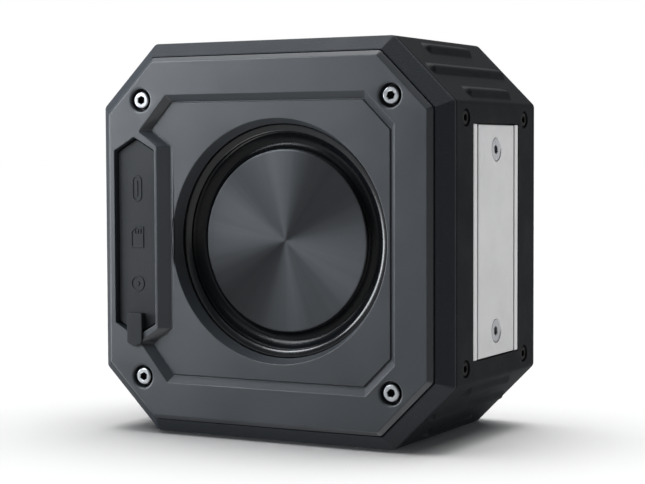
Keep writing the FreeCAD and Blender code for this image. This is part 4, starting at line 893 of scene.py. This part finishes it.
def port_icons(build):
    """Generic pictograms over the ports: connector, memory card and headphone plug."""
    usb, card, jack = (rear_place(node)[1] for node in ("usb_c_port", "card_socket", "line_in_jack"))
    outlines = [box_outline(PORT_U, usb, 1.5, 3.4, 1.45, 8), Round(PORT_U, jack, 2.1, 48), Polygon(
        [(PORT_U + u, card + v) for u, v in ((-2, -2.8), (2, -2.8), (2, 2.8), (-0.6, 2.8), (-2, 1.4))], 0.3)]
    marks = [box_outline(PORT_U, usb, 0.3, 2.0, 0.29, 6), Round(PORT_U, jack, 0.6, 24)]
    marks += [box_outline(PORT_U + 0.2 + step * 0.85, card + 1.45, 0.16, 0.6, 0.1, 3) for step in (-1, 0, 1)]
    for shapes, hollow in ((outlines, 0.45), (marks, 0)):
        for outline in shapes:
            build.raised(outline, COVER_FACE, 0.16, hollow=hollow)


# ---- magnet side

MAGNET_SCREW_HEAD, MAGNET_SCREW_SHANK = 2.8, 1.5
MAGNET_SCREW = half_of("magnet_screws", Z) - MAGNET_SCREW_HEAD
PLATE_SEAT = span("magnet_channel", X)[0]
BAR_FOOT = PLATE_SEAT + 1


def make_magnet():
    slot_half, wide = 12.05, MAGNET_HALF_WIDE
    build = Build(RIGHT)
    section = soften([(-slot_half, BAR_FOOT), (-slot_half, HALF), (-wide, HALF), (-wide, PLATE_SEAT),
                      (wide, PLATE_SEAT), (wide, HALF), (slot_half, HALF), (slot_half, BAR_FOOT)],
                     [0, 0.25, 0.3, 0.4, 0.4, 0.3, 0.25, 0], 3)
    build.loft([(v, section) for v in (-MAGNET_HALF_TALL, MAGNET_HALF_TALL)])
    build.piece("magnet_cup", "root", "plate", "magnet_channel", 35)
    make_magnet_bar()
    build = Build(RIGHT)
    for side in (-1, 1):
        countersunk(build, 0, side * MAGNET_SCREW, HALF - 0.1, MAGNET_SCREW_HEAD, 1.16, 0.52 + side * 0.03)
    build.piece("plate_screws", "root", "plate_screw", "magnet_screws", 35)
    build = Build(RIGHT)
    shank = [(0, SLEEVE_INSIDE), (1, SLEEVE_INSIDE), (1, SLEEVE_INSIDE - 5), (0, SLEEVE_INSIDE - 5)]
    for side, rise in CORNERS:
        u, v = side * SIDE_SCREW[0], rise * SIDE_SCREW[1]
        top = SLEEVE_INSIDE + SIDE_HEAD
        cap_screw(build, u, v, top, SIDE_HEAD, SIDE_HEAD, 0.9, side + rise * 0.4, knurls=24)
        build.turned(u, v, shank, 20)
    build.piece("sleeve_screws", "root", "dark_screw", "side_screws", 35)


def make_magnet_bar():
    build = Build(RIGHT)
    outline = box_outline(0, 0, half_of("magnet_bar", Y) - 0.15, MAGNET_HALF_TALL, 0.3)
    profile = [(-0.3, BAR_FOOT), (0, BAR_FOOT), (0, HALF), (-0.6, HALF)]
    rings = build.wall(outline, soften(profile, [0, 0.2, 0.35, 0]))
    sinks = []
    deep = MAGNET_SCREW_HEAD - MAGNET_SCREW_SHANK
    profile = [(0.12, HALF), (0, HALF - 0.1), (-deep, HALF - 0.1 - deep), (-deep, BAR_FOOT)]
    for side in (-1, 1):
        hole = Round(0, side * MAGNET_SCREW, MAGNET_SCREW_HEAD + 0.2, 64)
        sinks.append(build.wall(hole, soften(profile, [0, 0.1, 0.1, 0])))
    for end in (-1, 0):
        build.fill(rings[end], *[sink[-1 - end] for sink in sinks])
    build.piece("magnet_block", "root", "magnet", "magnet_bar", 35)


def countersunk(build, u, v, top, radius, socket, turn):
    """Flat head with a conical underside, hexagon socket and shank."""
    sink, edge, long = radius - MAGNET_SCREW_SHANK, 0.25, 8.5
    profile = [(-0.5, top), (0, top), (0, top - edge), (-sink, top - sink - edge), (-sink, top - long)]
    rim = build.wall(Round(u, v, radius, 64), soften(profile, [0, 0.12, 0.05, 0.1, 0]))
    build.fill(rim[-1])
    profile = [(0.15, top), (0, top - 0.15), (0, top - 1.4), (-0.6, top - 1.7)]
    key_socket(build, hexagon(u, v, socket, turn), profile, rim[0])


# ---- front: baffle, grille, driver

GRILLE_FLOOR, GRILLE_RECESS = 28.6, 44.0
GRILLE_HALF = half_of("front_grille", X)
GRILLE_TOP = span("front_grille", Y)[1]
DRIVER_MOUTH, CONE_NECK = 24.3, 10.4


def make_baffle():
    build = Build(FRONT)
    edge = panel_edge(build, octagon(PANEL_HALF))
    profile = [(0.25, FACE), (0, FACE), (0, GRILLE_FLOOR), (-0.5, GRILLE_FLOOR)]
    recess = build.wall(octagon(GRILLE_RECESS, 1.2), soften(profile, [0, 0.3, 0.2, 0]))
    build.fill(edge[-1], recess[0])
    shank = SCREW_HOLE - COUNTERBORE
    profile = [(0, GRILLE_FLOOR), (0, FRONT_SEAT), (shank, FRONT_SEAT), (shank, PANEL_BACK)]
    wells, backs = screw_wells(build, profile, 40)
    profile = [(0.4, GRILLE_FLOOR), (0, GRILLE_FLOOR), (0, PANEL_BACK)]
    mouth = build.wall(Round(0, 0, DRIVER_MOUTH, 128), soften(profile, 0.4))
    build.fill(recess[-1], mouth[0], *wells)
    panel_back(build, edge, mouth[-1], *backs)
    build.piece("front_frame", "root", "baffle", "front_baffle", 38)


def grille_holes():
    """The CAD sheet's triangular field of holes."""
    pitch, radius = 4.6, 1.4
    reach = 37.0 - radius
    row_step = pitch * math.sqrt(3) / 2
    rows = int(reach / row_step)
    holes = []
    for row in range(-rows, rows + 1):
        shift = pitch / 2 if row % 2 else 0
        for column in range(-9, 10):
            u, v = column * pitch + shift, row * row_step
            if math.hypot(u, v) <= reach:
                holes.append(Round(u, v, radius, 20))
    return holes


def make_grille():
    build = Build(FRONT)
    thick = 0.6
    outer = octagon(GRILLE_HALF, 1.1)
    outside = build.wall(outer, soften([(0, GRILLE_FLOOR), (0, GRILLE_TOP), (-0.9, GRILLE_TOP)], 0.5))
    inside = build.wall(outer, [(-thick, GRILLE_FLOOR), (-thick, GRILLE_TOP - thick)])
    build.skin([outside[0], inside[0]])
    profile = [(0.1, GRILLE_TOP), (0, GRILLE_TOP - 0.1), (0, GRILLE_TOP - thick)]
    holes = [build.wall(hole, profile) for hole in grille_holes()]
    build.fill(outside[-1], *[rings[0] for rings in holes])
    build.fill(inside[-1], *[rings[-1] for rings in holes])
    build.piece("grille_sheet", "root", "grille", "front_grille", 38)


def make_driver():
    rolls = (19.2, 22.8)
    build = Build(FRONT)
    build.turned(0, 0, [(CONE_NECK, 13), (17.6, 23.4), (rolls[0], 23.4), (rolls[0], 23.9), (17.2, 23.9),
                        (16.6, 22.9), (12, 16.4), (CONE_NECK, 14.2), (CONE_NECK, 13)], 128)
    build.piece("driver_cone_paper", "driver_cone", "cone", "driver_cone", 40)
    build = Build(FRONT)
    radius, base, rise = 11.2, 15.75, 2.8
    turns = [step * math.pi / 24 for step in range(13)]
    dome = [(radius * math.sin(turn), base + rise * math.cos(turn)) for turn in turns]
    build.turned(0, 0, dome + [(10.9, 15.35), (6, 17.5), (0, 18.05)], 96)
    build.piece("dust_dome", "driver_cone", "gloss", "driver_dust_cap", 50)
    seat, flange = 24.4, 24.9
    upper = [(17.9, seat), (19.0, seat)] + roll_section((rolls[0], seat), (rolls[1], flange), -1.3)
    upper += [(23, flange), (24.2, flange)]
    flexible_ring("driver_roll", "surround", "driver_surround", FRONT, (0, 0), upper, 0.5, rolls,
                  "driver_cone", 128)
    make_spider()


def make_spider():
    """Corrugated cloth ring that centres the voice coil: three waves and a flat edge."""
    wave_end, out, level, thick, steps = 16.3, 17.9, 12.35, 0.35, 36
    upper = []
    for step in range(steps + 1):
        share = step / steps
        radius = CONE_NECK + (wave_end - CONE_NECK) * share
        upper.append((radius, level + 0.4 * math.sin(3 * math.pi * share)))
    upper.append((out, level))
    flexible_ring("spider_ring", "spider", "driver_spider", FRONT, (0, 0), upper, thick,
                  (CONE_NECK, wave_end), "driver_cone", 96)


# ---- buttons

def make_buttons():
    foot, brim, crown = 1.6, 5.6, 4.6
    for name in BUTTONS:
        u = middle_of(name, X)
        low, top = (level - MIDDLE for level in span(name, Z))
        under, over = low + 1.5, low + 2.6
        build = Build(TOP)
        side = soften([(foot, low), (foot, under), (brim, under), (brim, over), (crown, over), (crown, top),
                       (3.4, top)], [0, 0.1, 0.1, 0.1, 0.1, 0.5, 0])
        dish = [(3.2, top - 0.03), (2.2, top - 0.12), (0, top - 0.16)]
        build.turned(u, 0, [(0, low)] + side + dish, 96)
        button_icon(build, name, u, top - 0.14)
        build.piece(name.replace("_button", "_key"), name, "button", name, 45)


def button_icon(build, name, u, level):
    tall = 0.14
    bar = 0.32
    if name == "power_button":
        turns = [math.radians(-230 + step * 280 / 24) for step in range(25)]
        outside = [(u + 1.75 * math.cos(a), 1.75 * math.sin(a)) for a in turns]
        inside = [(u + 1.3 * math.cos(a), 1.3 * math.sin(a)) for a in reversed(turns)]
        build.raised(Polygon(outside + inside, 0.02, 1), level, tall)
        build.raised(box_outline(u, 1.3, 0.22, 0.9, 0.2, 4), level, tall)
    elif name == "play_button":
        build.raised(Polygon([(u - 0.9, -1.5), (u + 1.7, 0), (u - 0.9, 1.5)], 0.2, 4), level, tall)
    elif name == "volume_down_button":
        build.raised(box_outline(u, 0, 1.6, bar, 0.25, 4), level, tall)
    else:
        arm, half = 1.6, bar
        corners = [(-half, -arm), (half, -arm), (half, -half), (arm, -half), (arm, half), (half, half),
                   (half, arm), (-half, arm), (-half, half), (-arm, half), (-arm, -half), (-half, -half)]
        build.raised(Polygon([(u + x, y) for x, y in corners], 0.08, 3), level, tall)


# ---- camera, floor and light

def make_camera():
    azimuth, elevation, roll = (math.radians(a) for a in (28.299, 2.983, -0.218))
    back = Vector((math.sin(azimuth) * math.cos(elevation), -math.cos(azimuth) * math.cos(elevation),
                   math.sin(elevation)))
    right = Vector((0, 0, 1)).cross(back).normalized()
    up = back.cross(right)
    turned_right = right * math.cos(roll) + up * math.sin(roll)
    turned_up = up * math.cos(roll) - right * math.sin(roll)
    data = bpy.data.cameras.new("camera")
    data.lens, data.sensor_width = 96.98, 36
    data.clip_start, data.clip_end = 0.01, 50
    item = bpy.data.objects.new("camera", data)
    item.matrix_world = Matrix((turned_right, turned_up, back)).transposed().to_4x4()
    item.location = (0.21669, -0.40096, 0.07223)
    bpy.context.scene.collection.objects.link(item)
    bpy.context.scene.camera = item


def add_light(name, kind, power):
    data = bpy.data.lights.new(name, kind)
    data.energy = power
    item = bpy.data.objects.new(name, data)
    bpy.context.scene.collection.objects.link(item)
    return item


def area_light(name, place, aim, size, power, colour=(1, 1, 1), spare=None, through=False):
    """Rectangular softbox that isn't itself seen.

    It doesn't light the object in spare, and with through it even shines through that object."""
    item = add_light(name, "AREA", power)
    item.data.shape = "RECTANGLE"
    item.data.size, item.data.size_y = size
    item.data.color = colour
    item.location = place
    item.rotation_euler = (Vector(aim) - Vector(place)).to_track_quat("-Z", "Y").to_euler()
    item.visible_camera = False
    if spare:
        linked = link_light(item, spare, "EXCLUDE")
        if through:
            item.light_linking.blocker_collection = linked


def link_light(item, thing, state):
    """Lets a light leave out one object (EXCLUDE), or light nothing else (INCLUDE)."""
    linked = bpy.data.collections.new(item.name + "_links")
    linked.objects.link(thing)
    item.light_linking.receiver_collection = linked
    linked.collection_objects[0].light_linking.link_state = state
    return linked


def make_stage():
    """Pale floor that looks white but bounces little light up at the object."""
    build = Build()
    size = 6000
    corners = [(-size, -size), (size, -size), (size, size), (-size, size)]
    build.bm.faces.new(build.ring(corners, 0))
    mesh = bpy.data.meshes.new("floor")
    build.bm.transform(Matrix.Scale(MM, 4))
    build.bm.to_mesh(mesh)
    build.bm.free()
    floor = bpy.data.objects.new("floor", mesh)
    bpy.context.scene.collection.objects.link(floor)
    material = bpy.data.materials.new("studio_floor")
    material.use_nodes = True
    tree = material.node_tree
    shades = []
    for albedo in (0.6, 0.9):
        shade = tree.nodes.new("ShaderNodeBsdfDiffuse")
        shade.inputs["Color"].default_value = (albedo, albedo, albedo, 1)
        shades.append(shade.outputs["BSDF"])
    mix_by_camera(tree, *shades, tree.nodes["Material Output"])
    mesh.materials.append(material)
    bpy.context.scene.view_settings.view_transform = "Standard"
    return floor


def mix_by_camera(tree, others, camera, output):
    """The camera sees one shader, and every other ray the other."""
    path = tree.nodes.new("ShaderNodeLightPath")
    mix = tree.nodes.new("ShaderNodeMixShader")
    tree.links.new(path.outputs["Is Camera Ray"], mix.inputs["Fac"])
    tree.links.new(others, mix.inputs[1])
    tree.links.new(camera, mix.inputs[2])
    tree.links.new(mix.outputs["Shader"], output.inputs["Surface"])


def make_world():
    """White surroundings that give only a weak light, so that the lights shape the object."""
    world = bpy.data.worlds.new("studio")
    world.use_nodes = True
    tree = world.node_tree
    shown = tree.nodes["Background"]
    shown.inputs["Color"].default_value = (1, 1, 1, 1)
    shown.inputs["Strength"].default_value = 1.0
    fill = tree.nodes.new("ShaderNodeBackground")
    fill.inputs["Color"].default_value = (0.93, 0.96, 1, 1)
    fill.inputs["Strength"].default_value = 0.1
    mix_by_camera(tree, fill.outputs["Background"], shown.outputs["Background"], tree.nodes["World Output"])
    bpy.context.scene.world = world


def sun_light(name, towards, strength, angle, floor, state):
    item = add_light(name, "SUN", strength)
    item.data.angle = math.radians(angle)
    item.rotation_euler = Vector(towards).to_track_quat("Z", "Y").to_euler()
    link_light(item, floor, state)


def make_lights(floor):
    cool = (0.93, 0.965, 1)
    sun_light("overhead", (-0.16, 0.31, 1.0), 3.45, 54, floor, "EXCLUDE")
    suns = (("floor_left", (-0.39, -0.06, 1.0), 1.05), ("floor_right", (0.25, 0.28, 1.0), 1.05),
            ("floor_rear", (-0.08, 0.16, 1.0), 1.35))
    for name, towards, strength in suns:
        sun_light(name, towards, strength, 42, floor, "INCLUDE")
    area_light("left_low", (-0.28, -0.16, 0.08), (-0.03, -0.03, 0.06), (0.14, 0.14), 0.95, cool, floor)
    area_light("left_high", (-0.14, -0.16, 0.2), (-0.03, -0.03, 0.07), (0.1, 0.1), 0.58, cool, floor)
    area_light("top_strip", (-0.055, -0.31, 0.415), (0, -0.03, 0.05), (0.4, 0.06), 0.14, spare=floor)
    area_light("rear_box", (0.473, 0.879, 0.16), (0.05, 0, 0.05), (0.5, 0.5), 0.45)
    area_light("bounce", (0.02, -0.07, -0.25), (0, -0.03, 0), (0.4, 0.06), 0.4, spare=floor, through=True)


make_camera()
make_world()
make_lights(make_stage())
make_sleeve()
make_bumper("rear_edge", REAR, "rear_bumper")
make_bumper("front_edge", FRONT, "front_bumper")
make_rear_panel()
make_rear_screws()
make_radiator()
make_port_cover()
make_magnet()
make_baffle()
make_grille()
make_driver()
make_buttons()
paint_cad_nodes()
